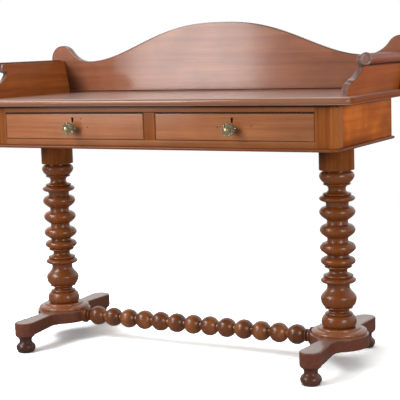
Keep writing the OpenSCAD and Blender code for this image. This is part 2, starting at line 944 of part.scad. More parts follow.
// one end of the stretcher from the first ball out to the tenon, as [radius, distance out]
stretcher_end = [
    [neck_r, ball_half + 0.5], [neck_r + 5, ball_half + 2], [neck_r + 6, ball_half + 4],
    [neck_r + 4, ball_half + 6], [neck_r + 1, ball_half + 8], [neck_r + 1, end_ball_gap - 13],
    [neck_r + 6, end_ball_gap - 11.5], [collar_r - 4, end_ball_gap - 10], [collar_r - 4, end_ball_gap - 8],
    [collar_r - 1, end_ball_gap - 7], [collar_r, end_ball_gap - 5], [collar_r - 1, end_ball_gap - 3],
    [collar_r - 2, end_ball_gap - 2.5], [collar_r, end_ball_gap - 1.5], [collar_r, end_ball_gap],
    [tenon_r, end_ball_gap], [tenon_r, end_ball_gap + tenon_l], [0, end_ball_gap + tenon_l]];

module stretcher() {
    half_angle = atan2(ball_half, neck_r);
    first = -ball_span / 2;
    color("#7b452c")
    translate([0, mid_y, stretcher_z])
    rotate([0, 90, 0])
    rotate_extrude()
    polygon(concat(
        [for (p = backwards(stretcher_end)) [p[0], first - p[1]]],
        [for (b = [0 : ball_count - 1], i = [0 : 10]) let (a = half_angle * (i / 5 - 1))
            [ball_r * cos(a), first + b * ball_step + ball_r * sin(a)]],
        [for (p = stretcher_end) [p[0], -first + p[1]]]));
}

// ---- drawers, drawn in the middle and moved to their side -------------------------

// the keyhole, drawn about its middle and cut along +Y
module keyhole(depth) {
    rotate([-90, 0, 0])
    linear_extrude(depth) {
        translate([0, (keyhole_d - keyhole_h) / 2])
        circle(d = keyhole_d);
        translate([-keyhole_slot / 2, (keyhole_d - keyhole_h) / 2])
        square([keyhole_slot, keyhole_h - keyhole_d / 2]);
    }
}

// where the lock's screws stand, pointing from the back of the drawer front towards -Y
module lock_screws_at() {
    x = lock_w / 2 - lock_screw_inset;
    for (side = [-1, 1], z = [lock_bottom_z + lock_screw_inset, lock_bottom_z + lock_h - lock_screw_inset])
        translate([side * x, front_y + front_t, z])
        rotate([90, 0, 0]) {
            cylinder(h = lock_screw_head_h, r1 = lock_screw_head_r, r2 = lock_screw_r);
            cylinder(h = lock_d + lock_screw_grip, r = lock_screw_r);
        }
}

module drawer_front() {
    difference() {
        translate([-front_w / 2, front_y, front_bottom_z])
        cube([front_w, front_t, front_top_z - front_bottom_z]);
        for (side = [-1, 1])
            translate([side * (inner_x + side_t) - side_t, front_y + front_t - side_lap, front_bottom_z - 1])
            cube([2 * side_t, side_lap + 1, side_bottom_z + side_h - front_bottom_z + 1]);
        translate([-inner_x - groove_d, front_y + front_t - groove_d - let_in_gap, bottom_z - let_in_gap])
        cube([2 * (inner_x + groove_d), groove_d + 1, bottom_t + 2 * let_in_gap]);
        translate([-lock_w / 2 - let_in_gap, lock_front_y - let_in_gap, lock_bottom_z - let_in_gap])
        cube([lock_w + 2 * let_in_gap, lock_d + 1, lock_h + 1]);
        translate([0, front_y - 1, keyhole_height])
        keyhole(front_t);
        translate([0, front_y, keyhole_height + (keyhole_h - keyhole_d) / 2])
        rotate([-90, 0, 0])
        cylinder(h = keyhole_wear, r1 = keyhole_d / 2 + keyhole_wear, r2 = keyhole_d / 2);
        translate([0, front_y - 1, knob_height])
        rotate([-90, 0, 0])
        cylinder(h = front_t + 2, r = knob_bolt_d / 2 + socket_gap);
        lock_screws_at();
    }
}

module drawer_side() {
    difference() {
        translate([inner_x, front_y + front_t - side_lap, side_bottom_z])
        cube([side_t, drawer_d - front_t + side_lap, side_h]);
        translate([inner_x - 1, front_y, bottom_z - let_in_gap])
        cube([groove_d + let_in_gap + 1, drawer_d + 1, bottom_t + 2 * let_in_gap]);
    }
}

module drawer_back() {
    translate([-inner_x, drawer_back_y - back_t, bottom_z + bottom_t])
    cube([2 * inner_x, back_t, side_h - groove_z - bottom_t - back_drop]);
}

module drawer_bottom() {
    translate([-inner_x - groove_d, front_y + front_t - groove_d, bottom_z])
    cube([2 * (inner_x + groove_d), drawer_d - front_t + groove_d, bottom_t]);
}

// a pressed-glass knob: a flat base on the drawer front, a waist and a petalled head
module knob() {
    r = knob_d / 2;
    profile = [[0, 0], [0.6, 0], [0.62, 0.05], [0.5, 0.12], [0.45, 0.24], [0.48, 0.36], [0.7, 0.46],
        [0.9, 0.55], [1, 0.66], [1, 0.76], [0.93, 0.85], [0.74, 0.93], [0.5, 1], [0, 1]];
    translate([0, front_y, knob_height])
    rotate([90, 0, 0])
    difference() {
        intersection() {
            rotate_extrude()
            polygon([for (p = profile) [p[0] * r, p[1] * knob_len]]);
            linear_extrude(knob_len + 1) {
                circle(r * 0.84);
                for (i = [0 : knob_petals - 1])
                    rotate(360 * i / knob_petals)
                    translate([r * 0.68, 0])
                    circle(r * 0.32);
            }
        }
        translate([0, 0, -1])
        cylinder(h = knob_len + 2, r = knob_bolt_d / 2 + socket_gap);
    }
}

// the bolt through a knob, with its washer and nut behind the drawer front
module knob_bolt() {
    r = knob_bolt_d / 2;
    tail = knob_len + front_t + washer_t + nut_t + bolt_tail;
    translate([0, front_y - knob_len, knob_height])
    rotate([90, 0, 0])
    rotate_extrude()
    polygon([[0, -tail], [r, -tail], [r, 0], [2.2 * r, 0], [2.1 * r, bolt_head_h * 0.4],
        [1.4 * r, bolt_head_h * 0.85], [0, bolt_head_h]]);
    translate([0, front_y + front_t, knob_height])
    rotate([-90, 0, 0])
    difference() {
        union() {
            cylinder(h = washer_t, r = washer_r);
            translate([0, 0, washer_t])
            cylinder(h = nut_t, r = nut_r, $fn = 6);
        }
        translate([0, 0, -1])
        cylinder(h = washer_t + nut_t + 2, r = r);
    }
}

// the lock, let into the back of the drawer front flush with its top
module lock_case() {
    difference() {
        translate([-lock_w / 2, lock_front_y, lock_bottom_z])
        cube([lock_w, lock_d, lock_h]);
        translate([-lock_bolt_w / 2 - bolt_gap, lock_bolt_y - lock_bolt_t / 2 - bolt_gap,
            lock_bolt_top_z - lock_bolt_h - bolt_gap])
        cube([lock_bolt_w + 2 * bolt_gap, lock_bolt_t + 2 * bolt_gap, lock_bolt_h + 2]);
        translate([0, lock_front_y - 1, keyhole_height])
        keyhole(lock_d / 2);
        lock_screws_at();
    }
}

module lock_bolt() {
    translate([-lock_bolt_w / 2, lock_bolt_y - lock_bolt_t / 2, lock_bolt_top_z - lock_bolt_h])
    cube([lock_bolt_w, lock_bolt_t, lock_bolt_h]);
}

// moves a drawer piece drawn in the middle to the left drawer, its outer side outwards
module to_left() {
    translate([-drawer_x, 0, 0])
    children();
}

module to_right() {
    translate([drawer_x, 0, 0])
    children();
}

module left_drawer_front() {
    color("#9c6040")
    to_left()
    drawer_front();
}

module left_drawer_side_outer() {
    color("#c0a074")
    to_left()
    mirror([1, 0, 0])
    drawer_side();
}

module left_drawer_side_inner() {
    color("#c0a074")
    to_left()
    drawer_side();
}

module left_drawer_back() {
    color("#c0a074")
    to_left()
    drawer_back();
}

module left_drawer_bottom() {
    color("#b9986c")
    to_left()
    drawer_bottom();
}

module left_knob() {
    color("#a7a78c")
    to_left()
    knob();
}

module left_knob_bolt() {
    color("#d8cda8")
    to_left()
    knob_bolt();
}

module left_lock_case() {
    color("#8f7a3c")
    to_left()
    lock_case();
}

module left_lock_bolt() {
    color("#8a8a86")
    to_left()
    lock_bolt();
}

module left_lock_screws() {
    color("#a08a4a")
    to_left()
    lock_screws_at();
}

module right_drawer_front() {
    color("#94583a")
    to_right()
    drawer_front();
}

module right_drawer_side_outer() {
    color("#c0a074")
    to_right()
    drawer_side();
}

module right_drawer_side_inner() {
    color("#c0a074")
    to_right()
    mirror([1, 0, 0])
    drawer_side();
}

module right_drawer_back() {
    color("#c0a074")
    to_right()
    drawer_back();
}

module right_drawer_bottom() {
    color("#b9986c")
    to_right()
    drawer_bottom();
}

module right_knob() {
    color("#a7a78c")
    to_right()
    knob();
}

module right_knob_bolt() {
    color("#d8cda8")
    to_right()
    knob_bolt();
}

module right_lock_case() {
    color("#8f7a3c")
    to_right()
    lock_case();
}

module right_lock_bolt() {
    color("#8a8a86")
    to_right()
    lock_bolt();
}

module right_lock_screws() {
    color("#a08a4a")
    to_right()
    lock_screws_at();
}

top_board();
back_panel();
panel_strip();
gallery_left();
gallery_right();
gallery_roll_left();
gallery_roll_right();
panel_dowels();
top_screws();
top_rail();
bottom_rail();
divider();
corner_post_left();
corner_post_right();
end_panel_left();
end_panel_right();
frieze_back();
moulding_front();
moulding_left();
moulding_right();
bearer_left();
bearer_right();
centre_runner();
centre_guide();
guide_left();
guide_right();
kickers();
drawer_stops();
glue_blocks();
column_left();
column_right();
base_disc_left();
base_disc_right();
platform_left();
platform_right();
foot_front_left();
foot_front_right();
foot_back_left();
foot_back_right();
stretcher();
left_drawer_front();
left_drawer_side_outer();
left_drawer_side_inner();
left_drawer_back();
left_drawer_bottom();
left_knob();
left_knob_bolt();
left_lock_case();
left_lock_bolt();
left_lock_screws();
right_drawer_front();
right_drawer_side_outer();
right_drawer_side_inner();
right_drawer_back();
right_drawer_bottom();
right_knob();
right_knob_bolt();
right_lock_case();
right_lock_bolt();
right_lock_screws();
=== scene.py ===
# %% [markdown]
# # A washstand in polished hardwood
# The real object is a free-standing washstand: a long top with a shaped back and two leaning
# side galleries, a frieze with two drawers, two ring-turned columns on footed platforms, and a
# bobbin-turned stretcher between them. The CAD model gives every size and place, so this
# script starts from it and builds a finer piece round most of its nodes.

# %% Load the frame
import math

import bmesh
import bpy
import numpy as np
from mathutils import Matrix, Vector


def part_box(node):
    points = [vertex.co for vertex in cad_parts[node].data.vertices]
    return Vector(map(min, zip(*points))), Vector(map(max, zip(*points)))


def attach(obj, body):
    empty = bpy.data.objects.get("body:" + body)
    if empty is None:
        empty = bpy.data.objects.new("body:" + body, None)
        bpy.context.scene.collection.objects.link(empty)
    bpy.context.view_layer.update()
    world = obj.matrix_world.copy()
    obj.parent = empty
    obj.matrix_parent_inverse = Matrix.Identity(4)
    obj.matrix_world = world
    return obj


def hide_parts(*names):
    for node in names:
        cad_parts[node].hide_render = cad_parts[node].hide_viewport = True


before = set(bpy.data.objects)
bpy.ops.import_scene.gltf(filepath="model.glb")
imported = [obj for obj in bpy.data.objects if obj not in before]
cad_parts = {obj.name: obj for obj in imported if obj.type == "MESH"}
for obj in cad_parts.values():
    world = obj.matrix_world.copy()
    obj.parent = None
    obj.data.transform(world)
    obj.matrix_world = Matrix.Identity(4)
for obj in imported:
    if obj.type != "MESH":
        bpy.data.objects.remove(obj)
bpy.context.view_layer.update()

MM = 0.001
HANDS = ((-1, "left"), (1, "right"))


# %% Small tools
def metres(point):
    return tuple(c * MM for c in point)


def put_in_scene(name, data):
    thing = bpy.data.objects.new(name, data)
    bpy.context.scene.collection.objects.link(thing)
    return thing


# %% [markdown]
# ## Camera
# The photograph was taken from a little to the right and a little above the top. The angles
# come from the lines of the furniture itself: verticals that lean, and the two ends of the top.
# A long lens is used, as a furniture photographer would, so the depth looks shallow.

# %% Camera
STANDS_AT, LENS, SENSOR = (1.6794, -3.06283, 0.92627), 105.25, 36
to_left, down, lean = (math.radians(angle) for angle in (28.1455, 7.574, -1.838))
ahead = Vector((-math.sin(to_left) * math.cos(down), math.cos(to_left) * math.cos(down), -math.sin(down)))
right = ahead.cross(Vector((0, 0, 1))).normalized()
up = right.cross(ahead)
right, up = math.cos(lean) * right + math.sin(lean) * up, math.cos(lean) * up - math.sin(lean) * right
lens = bpy.data.cameras.new("photo_camera")
lens.lens, lens.sensor_width, lens.clip_end = LENS, SENSOR, 200
camera = put_in_scene("photo_camera", lens)
camera.matrix_world = Matrix.Translation(STANDS_AT) @ Matrix((right, up, -ahead)).transposed().to_4x4()
bpy.context.scene.camera = camera
print("the lens sees", round(2 * math.degrees(math.atan(SENSOR / 2 / LENS)), 1), "degrees")


# %% [markdown]
# ## Tools for node trees
# Every finish below is a small tree of nodes. A wire is one output of a node, and plain
# + - * / on wires add the maths nodes that work a sum out, so a recipe reads like a sum. An
# effect that many finishes share is a group, built once and then used with other values.

# %% Wires
class Wire:
    """One output of a node. wire[name] is another output of the same node."""

    def __init__(self, socket):
        self.socket, self.tree = socket, socket.id_data

    def __getitem__(self, key):
        return Wire(self.socket.node.outputs[key])

    def __add__(self, other):
        return maths("ADD", self, other)

    def __sub__(self, other):
        return maths("SUBTRACT", self, other)

    def __rsub__(self, other):
        return maths("SUBTRACT", other, self)

    def __mul__(self, other):
        return maths("MULTIPLY", self, other)

    def __truediv__(self, other):
        return maths("DIVIDE", self, other)


# %% Adding nodes
def add_node(tree, kind, sockets=None, **settings):
    """Adds a node and gives its first output. A socket takes a wire or a plain value."""
    node = tree.nodes.new(kind)
    for name, value in settings.items():
        setattr(node, name, value)
    for key, value in (sockets or {}).items():
        if isinstance(value, Wire):
            tree.links.new(value.socket, node.inputs[key])
        else:
            node.inputs[key].default_value = value
    return Wire(node.outputs[0]) if node.outputs else node


def tree_of(values):
    return next(value.tree for value in values if isinstance(value, Wire))


def maths(operation, *values, **settings):
    """A maths node, or a vector maths node where one of the values has three parts."""
    kinds = [value.socket.type if isinstance(value, Wire) else type(value) for value in values]
    node = "ShaderNodeVectorMath" if {"VECTOR", "RGBA", tuple} & set(kinds) else "ShaderNodeMath"
    return add_node(tree_of(values), node, dict(enumerate(values)), operation=operation, **settings)


# %% Short names for the nodes that most recipes use
def length(vector):
    return maths("LENGTH", vector)["Value"]


def join(*parts):
    return add_node(tree_of(parts), "ShaderNodeCombineXYZ", dict(enumerate(parts)))


def split(vector):
    return add_node(vector.tree, "ShaderNodeSeparateXYZ", {0: vector})


def noise(vector, scale, detail=2.0, roughness=0.5):
    return add_node(vector.tree, "ShaderNodeTexNoise", {
        "Vector": vector, "Scale": scale, "Detail": detail, "Roughness": roughness})


def ramp(value, low, high, out_low=0.0, out_high=1.0):
    return add_node(value.tree, "ShaderNodeMapRange", {
        "Value": value, "From Min": low, "From Max": high, "To Min": out_low, "To Max": out_high},
                    interpolation_type="SMOOTHSTEP")


def blend(amount, first, second):
    return add_node(amount.tree, "ShaderNodeMix", {0: amount, 6: first, 7: second}, data_type="RGBA")[2]


def bump(height, distance, strength, **more):
    return add_node(height.tree, "ShaderNodeBump", {
        "Height": height, "Distance": distance, "Strength": strength, **more})


def linear(colour, gain=1.0, lift=0.0):
    """An everyday 0 to 255 colour as the linear colour that Blender's sockets expect."""
    return tuple((c / 255 / 12.92 if c <= 10 else ((c / 255 + 0.055) / 1.055) ** 2.4)
                 for c in (min(255, c * gain + lift) for c in colour)) + (1.0,)


# %% Groups
KINDS = {int: "NodeSocketInt", float: "NodeSocketFloat", tuple: "NodeSocketVector"}


def start_group(name, inputs, outputs=(), geometry=False):
    """A new node group. inputs is {name: usual value}; they come back as wires."""
    tree = bpy.data.node_groups.new(name, "GeometryNodeTree" if geometry else "ShaderNodeTree")
    for way in ("INPUT", "OUTPUT") if geometry else ():
        tree.interface.new_socket(name="Geometry", in_out=way, socket_type="NodeSocketGeometry")
    for label, usual in inputs.items():
        kind = KINDS[type(usual)]
        tree.interface.new_socket(name=label, in_out="INPUT", socket_type=kind).default_value = usual
    for label in outputs:
        tree.interface.new_socket(name=label, in_out="OUTPUT", socket_type="NodeSocketFloat")
    return tree, {socket.name: Wire(socket) for socket in tree.nodes.new("NodeGroupInput").outputs}


def end_group(tree, results):
    add_node(tree, "NodeGroupOutput", results)
    print(tree.name, "has", len(tree.nodes), "nodes")


# %% Materials
def start_material(name):
    """A new material with an empty tree, and the place of each point on its object."""
    material = bpy.data.materials.new(name)
    material.use_nodes = True
    tree = material.node_tree
    tree.nodes.clear()
    return material, tree, add_node(tree, "ShaderNodeTexCoord")["Object"]


def end_material(material, shader):
    add_node(shader.tree, "ShaderNodeOutputMaterial", {"Surface": shader})
    return material


# %% [markdown]
# ## The figure of the timber
# The wood is a close-grained, reddish hardwood, cut from a log. Its figure is the log's rings
# seen through the surface, stretched along the grain, with fine darker fibres and short open
# pores on top. Building it in three dimensions, from the distance to the heart of the log,
# makes a turned ball show ovals and a flat board show long flames, as real timber does.

# %% Node group: timber figure
figure, took = start_group(
    "timber_figure",
    {"Vector": (0.0, 0.0, 0.0), "Ring Spacing": 0.012, "Ring Strength": 0.35, "Streak Strength": 0.5,
     "Fibre Strength": 0.25, "Pore Strength": 0.5, "Warp": 0.02}, ("Tone", "Pores", "Height"))
wander = noise(took["Vector"] * (1.1, 5.0, 5.0), 1.0)["Color"] - (0.5, 0.5, 0.5)
bent = took["Vector"] + wander * took["Warp"]
_, across, deep = split(bent)
turns = maths("SQRT", across * across + deep * deep) / took["Ring Spacing"]
year = noise(join(turns, 0.0, 0.0), 0.35)
rings = maths("SINE", turns * 6.283 + year * 9.0) * (took["Ring Strength"] * 0.5)
streaks = (noise(bent * (2.2, 75.0, 75.0), 1.0, 4.0, 0.6) - 0.5) * (took["Streak Strength"] * 2.0)
fibres = (noise(bent * (14.0, 620.0, 620.0), 1.0) - 0.5) * took["Fibre Strength"]
pores = ramp(noise(bent * (70.0, 1700.0, 1700.0), 1.0, 1.0), 0.60, 0.68) * took["Pore Strength"]
end_group(figure, {"Tone": maths("ADD", rings + streaks, fibres + 0.5, use_clamp=True),
                   "Pores": pores, "Height": fibres - pores})


# %% [markdown]
# ## Age
# Old furniture is lighter where hands and dusters rub it, on its arrises and ridges, and
# darker where polish and grime settle, in its hollows. Each piece carries an attribute named
# ridge, from -1 in a hollow to 1 on an edge, and this group turns it into two masks. It also
# gives a mottle, and the slow waviness of a hand-planed surface, which bends every reflection
# a little. Edge Shade darkens the arris itself: painted shade in the gaps where two pieces meet
# and along edges turned away from the light.

# %% Node group: age
def ridge_in(tree):
    return add_node(tree, "ShaderNodeAttribute", attribute_name="ridge")["Fac"]


age, took = start_group(
    "age", {"Vector": (0.0, 0.0, 0.0), "Wear": 0.5, "Grime": 0.5, "Edge Shade": 0.0, "Waviness": 0.5},
    ("Worn", "Dirt and Shade", "Height", "Mottle"))
ridge, place = ridge_in(age), took["Vector"]
patch = noise(place, 38.0, 4.0, 0.6) - 0.5
settled = ramp(patch - ridge, 0.15, 1.0) * took["Grime"]
# The second mask is grime settled in the hollows, with painted shade on the arrises added to it.
end_group(age, {
    "Worn": ramp(ridge + patch, 0.35, 1.1) * took["Wear"],
    "Dirt and Shade": maths("ADD", settled, ramp(ridge, 0.1, 0.7) * took["Edge Shade"], use_clamp=True),
    "Height": noise(place, 6.5, 1.0, 0.4) * took["Waviness"],
    "Mottle": noise(place, 9.0, 3.0, 0.55)})

# %% [markdown]
# ## Polished timbers
# One recipe makes all the show timbers. Each call names where the grain runs, how far the
# heart of the log lies from the piece, and three colours from dark to light. The shader stays
# in the material: a wood base, with a thin coat over it for the wax and polish.

# %% Polished timber
GRAIN = {"X": (0.0, 0.0, 0.0), "Y": (0.0, 0.0, -math.pi / 2), "Z": (0.0, math.pi / 2, 0.0)}
# Two of these numbers set painted shade: how dark a shade band goes, and how dark grime and painted shade turn the
# wood.
POLISH_IOR, SHADE_BAND_STRENGTH, PORE_SHADE, DIRT_AND_SHADE_TONE = 1.5, 0.93, 0.4, 0.32


def timber(name, grain, heart, colours, spacing=0.014, rings=0.12, streaks=0.32, fibres=0.3, pores=0.3,
           wear=0.0, grime=0.6, edge=0.0, waviness=1.0, rough=0.42, gloss=0.25, coat=0.4, coat_rough=0.12,
           mottle=0.22, shade_band=None, rim=None, rim_polish=0.4, marks_and_painted_shade=()):
    """A polished hardwood. heart is the middle of the log, in metres, along the turned axes.
    A shade band, given as two heights, darkens the wood between them: painted shade close under an overhang, and in the
    gap over a drawer.
    edge darkens the arrises: painted shade in the gaps where pieces meet and along edges turned from the light.
    rim is the colour of a rounded edge, which keeps rim_polish of the coat.
    Marks, given as (middle, reach, strength) in millimetres, are dark patches: some real, such as old plugged holes,
    and some painted shade and shadow."""
    dark, middle, light = colours
    material, tree, place = start_material(name + "_timber")
    log = add_node(tree, "ShaderNodeMapping", {"Vector": place, "Rotation": GRAIN[grain], "Location": heart})
    wood = add_node(tree, "ShaderNodeGroup", {
        "Vector": log, "Ring Spacing": spacing, "Ring Strength": rings, "Streak Strength": streaks,
        "Fibre Strength": fibres, "Pore Strength": pores}, node_tree=figure)
    old = add_node(tree, "ShaderNodeGroup", {
        "Vector": place, "Wear": wear, "Grime": grime, "Edge Shade": edge, "Waviness": waviness}, node_tree=age)
    dirt_and_shade = old["Dirt and Shade"]
    # The shade band and many of the marks are painted shade and shadow; they join the real grime and plugged holes in
    # one mask.
    if shade_band:
        dirt_and_shade = maths("MAXIMUM", dirt_and_shade, ramp(split(place)[2], *shade_band, 0.0, SHADE_BAND_STRENGTH))
    for centre, reach, strength in marks_and_painted_shade:
        away = length((place - metres(centre)) / metres(reach)) + old["Mottle"] * 0.3
        dirt_and_shade = maths("MAXIMUM", dirt_and_shade, ramp(away, 0.35, 1.15, strength, 0.0))
    shade = add_node(tree, "ShaderNodeValToRGB", {"Fac": wood["Tone"]})
    stops = shade.socket.node.color_ramp.elements
    stops[0].position, stops[0].color = 0.08, linear(dark)
    stops[1].position, stops[1].color = 0.92, linear(light)
    stops.new(0.5).color = linear(middle)
    colour = blend(ramp(old["Mottle"], 0.3, 0.7, 0.0, mottle), shade, linear(dark))
    colour = blend(wood["Pores"] * 0.6, colour, linear(dark, PORE_SHADE))
    colour = blend(old["Worn"], colour, linear(light, 1.2, 14))
    colour = blend(dirt_and_shade, colour, linear(dark, DIRT_AND_SHADE_TONE))
    if rim:
        rounded = ramp(ridge_in(tree), 0.15, 0.5)
        colour = blend(rounded, colour, linear(rim))
        coat = (1.0 - rounded * (1.0 - rim_polish)) * coat
    fine = bump(wood["Height"], 0.00025, 0.5, Normal=bump(old["Height"], 0.004, 0.6))
    return end_material(material, add_node(tree, "ShaderNodeBsdfPrincipled", {
        "Base Color": colour, "Roughness": old["Mottle"] * 0.14 + (dirt_and_shade * 0.2 + (rough - 0.07)), "Normal": fine,
        "IOR": POLISH_IOR, "Specular IOR Level": gloss, "Coat Weight": coat, "Coat Roughness": coat_rough,
        "Coat IOR": POLISH_IOR}))


# %% Timbers of the top and its galleries: grain, heart of the log, and dark, middle and light
# The top's colours are lighter and greyer than the other timbers: dust, and a painted sheen of what the top mirrors at
# a low angle.
TOP_DUST_AND_SHEEN = "X", (0.1, 0.9, -0.6), ((160, 126, 114), (196, 163, 149), (214, 184, 170))
PANEL = "X", (0.3, 0.45, -0.72), ((114, 60, 34), (152, 90, 58), (172, 110, 76))
GALLERY = "Y", (0.2, 0.2, -0.7)
# Heights of the band just under each roll, where the roll's painted shadow lies on the gallery board.
SHADOW_UNDER_ROLL = (0.8510, 0.8580)
top_dust_and_sheen_timber = timber("top", *TOP_DUST_AND_SHEEN, gloss=0.5, coat=0.8, coat_rough=0.13, rim=(130, 70, 36))
# The nose is one board in two copies of the top timber: its front rim is greyer than its ends', and that grey is a
# painted sheen.
nose_timber = timber("top_nose", *TOP_DUST_AND_SHEEN, gloss=0.15, coat=0.65, coat_rough=0.06, waviness=0.6,
                     rim=(136, 88, 62), rim_polish=1.0)
nose_end_timber = timber("top_nose_end", *TOP_DUST_AND_SHEEN, gloss=0.04, coat=0.0, rim=(134, 66, 28), rim_polish=1.0)
# The broad patches at both ends darken the panel in the corners beside the galleries: painted shade. The small one is a
# dark spot near the crest. The panel and its strip are darkened along their arrises: painted shade.
panel_timber = timber("panel", *PANEL, rings=0.16, streaks=0.42, edge=0.7, gloss=0.35, coat=1.0, coat_rough=0.13,
                      waviness=2.5, mottle=0.42, marks_and_painted_shade=(
                          ((-590, 234, 795), (120, 400, 110), 0.75), ((590, 234, 795), (100, 400, 110), 0.6),
                          ((-80, 234, 970), (3.5, 40, 3.5), 0.8)))
strip_timber = timber("strip", *PANEL, edge=0.3, coat=0.5)
# The gallery boards, inside and out, are darkened a little on their arrises (painted shade), and the outer ones in a
# band just under the roll (painted shadow).
gallery_timber = timber("gallery", *GALLERY, ((116, 52, 10), (172, 84, 20), (200, 110, 32)),
                        edge=0.15, gloss=0.1, coat=0.1, shade_band=SHADOW_UNDER_ROLL)
inner_timber = timber("gallery_inner", *GALLERY, ((116, 60, 26), (170, 95, 44), (200, 122, 62)),
                      edge=0.15, gloss=0.1, coat=0.1)
# The gallery edges and the buttons are paler and greyer than the boards: a painted sheen of the light they catch at a
# low angle.
gallery_edge_sheen_timber = timber("gallery_edge", *GALLERY, ((84, 56, 48), (126, 92, 80), (158, 124, 112)),
                     wear=0.2, gloss=0.3, coat=0.7)
# The roll's arrises are darkened, as a dark line where it meets the board: painted shade.
roll_timber = timber("roll", "Y", (0.1, 0.5, -0.83), ((92, 36, 10), (144, 66, 24), (172, 94, 46)),
                     edge=0.5, gloss=0.2, coat=0.14)

# %% Timbers of the frieze
POST = "Z", (0.2, 0.35, 0.1)
MOULDING_HEART, MOULDING = (0.7, 0.5, -0.5), ((68, 30, 10), (116, 61, 25), (146, 84, 46))
# Two bands of height are painted darker: the shadow just under the top's nose, and the shade in the gap over each
# drawer front.
SHADOW_UNDER_TOP, SHADE_OVER_DRAWER, FACE_Y = (0.7485, 0.7565), (0.7352, 0.738), -213
# The end boards are darkened just under the top's nose (painted shadow) and a little on their arrises (painted shade);
# the patches make them darker towards the back, and low along the right one.
end_timber = timber("end", "Y", (0.4, 0.25, -0.45), ((136, 60, 8), (198, 104, 20), (218, 128, 34)), mottle=0.75,
                    edge=0.1, gloss=0.05, coat=0.0, shade_band=SHADOW_UNDER_TOP, marks_and_painted_shade=(
                        ((565, 240, 690), (90, 120, 150), 0.25), ((-565, 240, 690), (90, 120, 150), 0.25),
                        ((565, -60, 640), (60, 260, 34), 0.4)))
# The rails are darkened just under the top's nose (painted shadow), along the lower edge over the drawers (painted
# shade in the gap), and a little on their arrises (painted shade).
rail_timber = timber("rail", "X", MOULDING_HEART, ((100, 54, 26), (146, 88, 50), (168, 108, 68)), edge=0.15,
                     gloss=0.12, coat=0.12, shade_band=SHADOW_UNDER_TOP, marks_and_painted_shade=(((0, FACE_Y, 739), (4000, 60, 4.5), 0.9),))
moulding_timber = timber("moulding", "X", MOULDING_HEART, MOULDING, wear=0.1, coat=0.15, gloss=0.15)
end_moulding_timber = timber("end_moulding", "Y", MOULDING_HEART, MOULDING, wear=0.1, coat=0.06, gloss=0.1)
# The posts are darkened just under the top's nose: painted shadow. The rounded corner and the side faces of each post
# take a lighter copy of the same timber: painted highlight.
upright_timber = timber("upright", *POST, ((90, 43, 12), (130, 70, 25), (154, 91, 42)), wear=0.1, edge=0.08,
                        gloss=0.1, coat=0.12, shade_band=SHADOW_UNDER_TOP)
rounding_highlight_timber = timber("post_rounding_highlight", *POST, ((122, 64, 22), (164, 96, 44), (188, 122, 68)), wear=0.1,
                        edge=0.08, gloss=0.08, coat=0.05, shade_band=SHADOW_UNDER_TOP)
plugs = [((x, FACE_Y, z), (4.5, 40, 4.5), 0.6)
         for x, z in ((-293, 699), (-231, 723), (-209, 698), (216, 700), (319, 703))]
# The fronts are darkened along their top edge and arrises (painted shade in the gaps), towards the right-hand end
# (painted shade), and just right of each knob (the knob's painted shadow). The small patches are old plugged holes.
front_timber = timber("drawer_front", "X", (0.5, 0.42, -0.66), ((122, 66, 30), (158, 94, 50), (178, 114, 68)),
                      edge=0.5, grime=1.0, streaks=0.6, fibres=0.45, mottle=0.34, shade_band=SHADE_OVER_DRAWER, marks_and_painted_shade=plugs + [
                          ((520, FACE_Y, 690), (250, 80, 110), 0.3), ((-245, FACE_Y, 689), (22, 40, 17), 0.7),
                          ((276, FACE_Y, 689), (22, 40, 17), 0.7)])

# %% Timbers of the stand
turned_timber = timber("turned", "Z", (0.2, 0.05, 0.05), ((60, 24, 6), (120, 61, 18), (168, 100, 48)), rings=0.04,
                       streaks=0.08, fibres=0.1, wear=0.12, grime=1.0, waviness=0.5, rough=0.34, gloss=0.4, coat=0.3)
# The drums are darkened on their front left, just under the frieze: painted shade.
drum_timber = timber("drum", "Z", (0.2, 0.05, 0.05), ((62, 26, 6), (120, 64, 21), (160, 96, 46)), rings=0.04,
                     streaks=0.2, fibres=0.2, wear=0.12, grime=1.0, waviness=0.5, gloss=0.08, coat=0.04,
                     marks_and_painted_shade=[((side * 476 - 30, -20, 640), (75, 75, 75), 0.8) for side, _ in HANDS])
stretcher_timber = timber("stretcher", "X", (0.2, 0.05, -0.05), ((52, 21, 5), (109, 55, 17), (157, 92, 44)),
                          rings=0.04, streaks=0.08, fibres=0.15, wear=0.3, waviness=0.5, rough=0.34, gloss=0.45,
                          coat=0.3)
# The discs are lighter than the platforms; part of that is a painted highlight on their rounded edges.
disc_timber = timber("disc", "Y", (0.2, 0.5, -0.05), ((88, 46, 24), (142, 84, 50), (174, 120, 84)), wear=0.25,
                     coat=0.8, coat_rough=0.16)
base_timber = timber("base", "Y", (0.2, 0.55, -0.05), ((62, 30, 20), (104, 56, 38), (134, 82, 60)), rings=0.06,
                     streaks=0.2, wear=0.12, coat=0.25)
# The upper faces of the platforms take a lighter, greyer copy of the base timber: dust, and a painted sheen.
platform_top_dust_and_sheen_timber = timber("platform_top", "Y", (0.2, 0.55, -0.05), ((98, 68, 56), (132, 98, 84), (156, 124, 108)),
                             rings=0.06, streaks=0.2, wear=0.2, coat=0.8, coat_rough=0.2)
# The feet of the left platform are darkened by a broad patch.
foot_timber = timber("foot", "Z", (0.3, 0.06, 0.04), ((48, 24, 16), (86, 46, 31), (116, 74, 58)), rings=0.05,
                     streaks=0.15, wear=0.5, marks_and_painted_shade=(((-476, 8, 20), (90, 500, 60), 0.55),))

# %% [markdown]
# ## Plain timbers, metals and glass
# Nobody polished what doesn't show. The framing and the insides of the drawers are a pale,
# dry softwood with the same figure but no coat. The knobs are pressed glass, faintly green,
# each held by a bolt with a domed head. The locks are brass and the screws are steel.

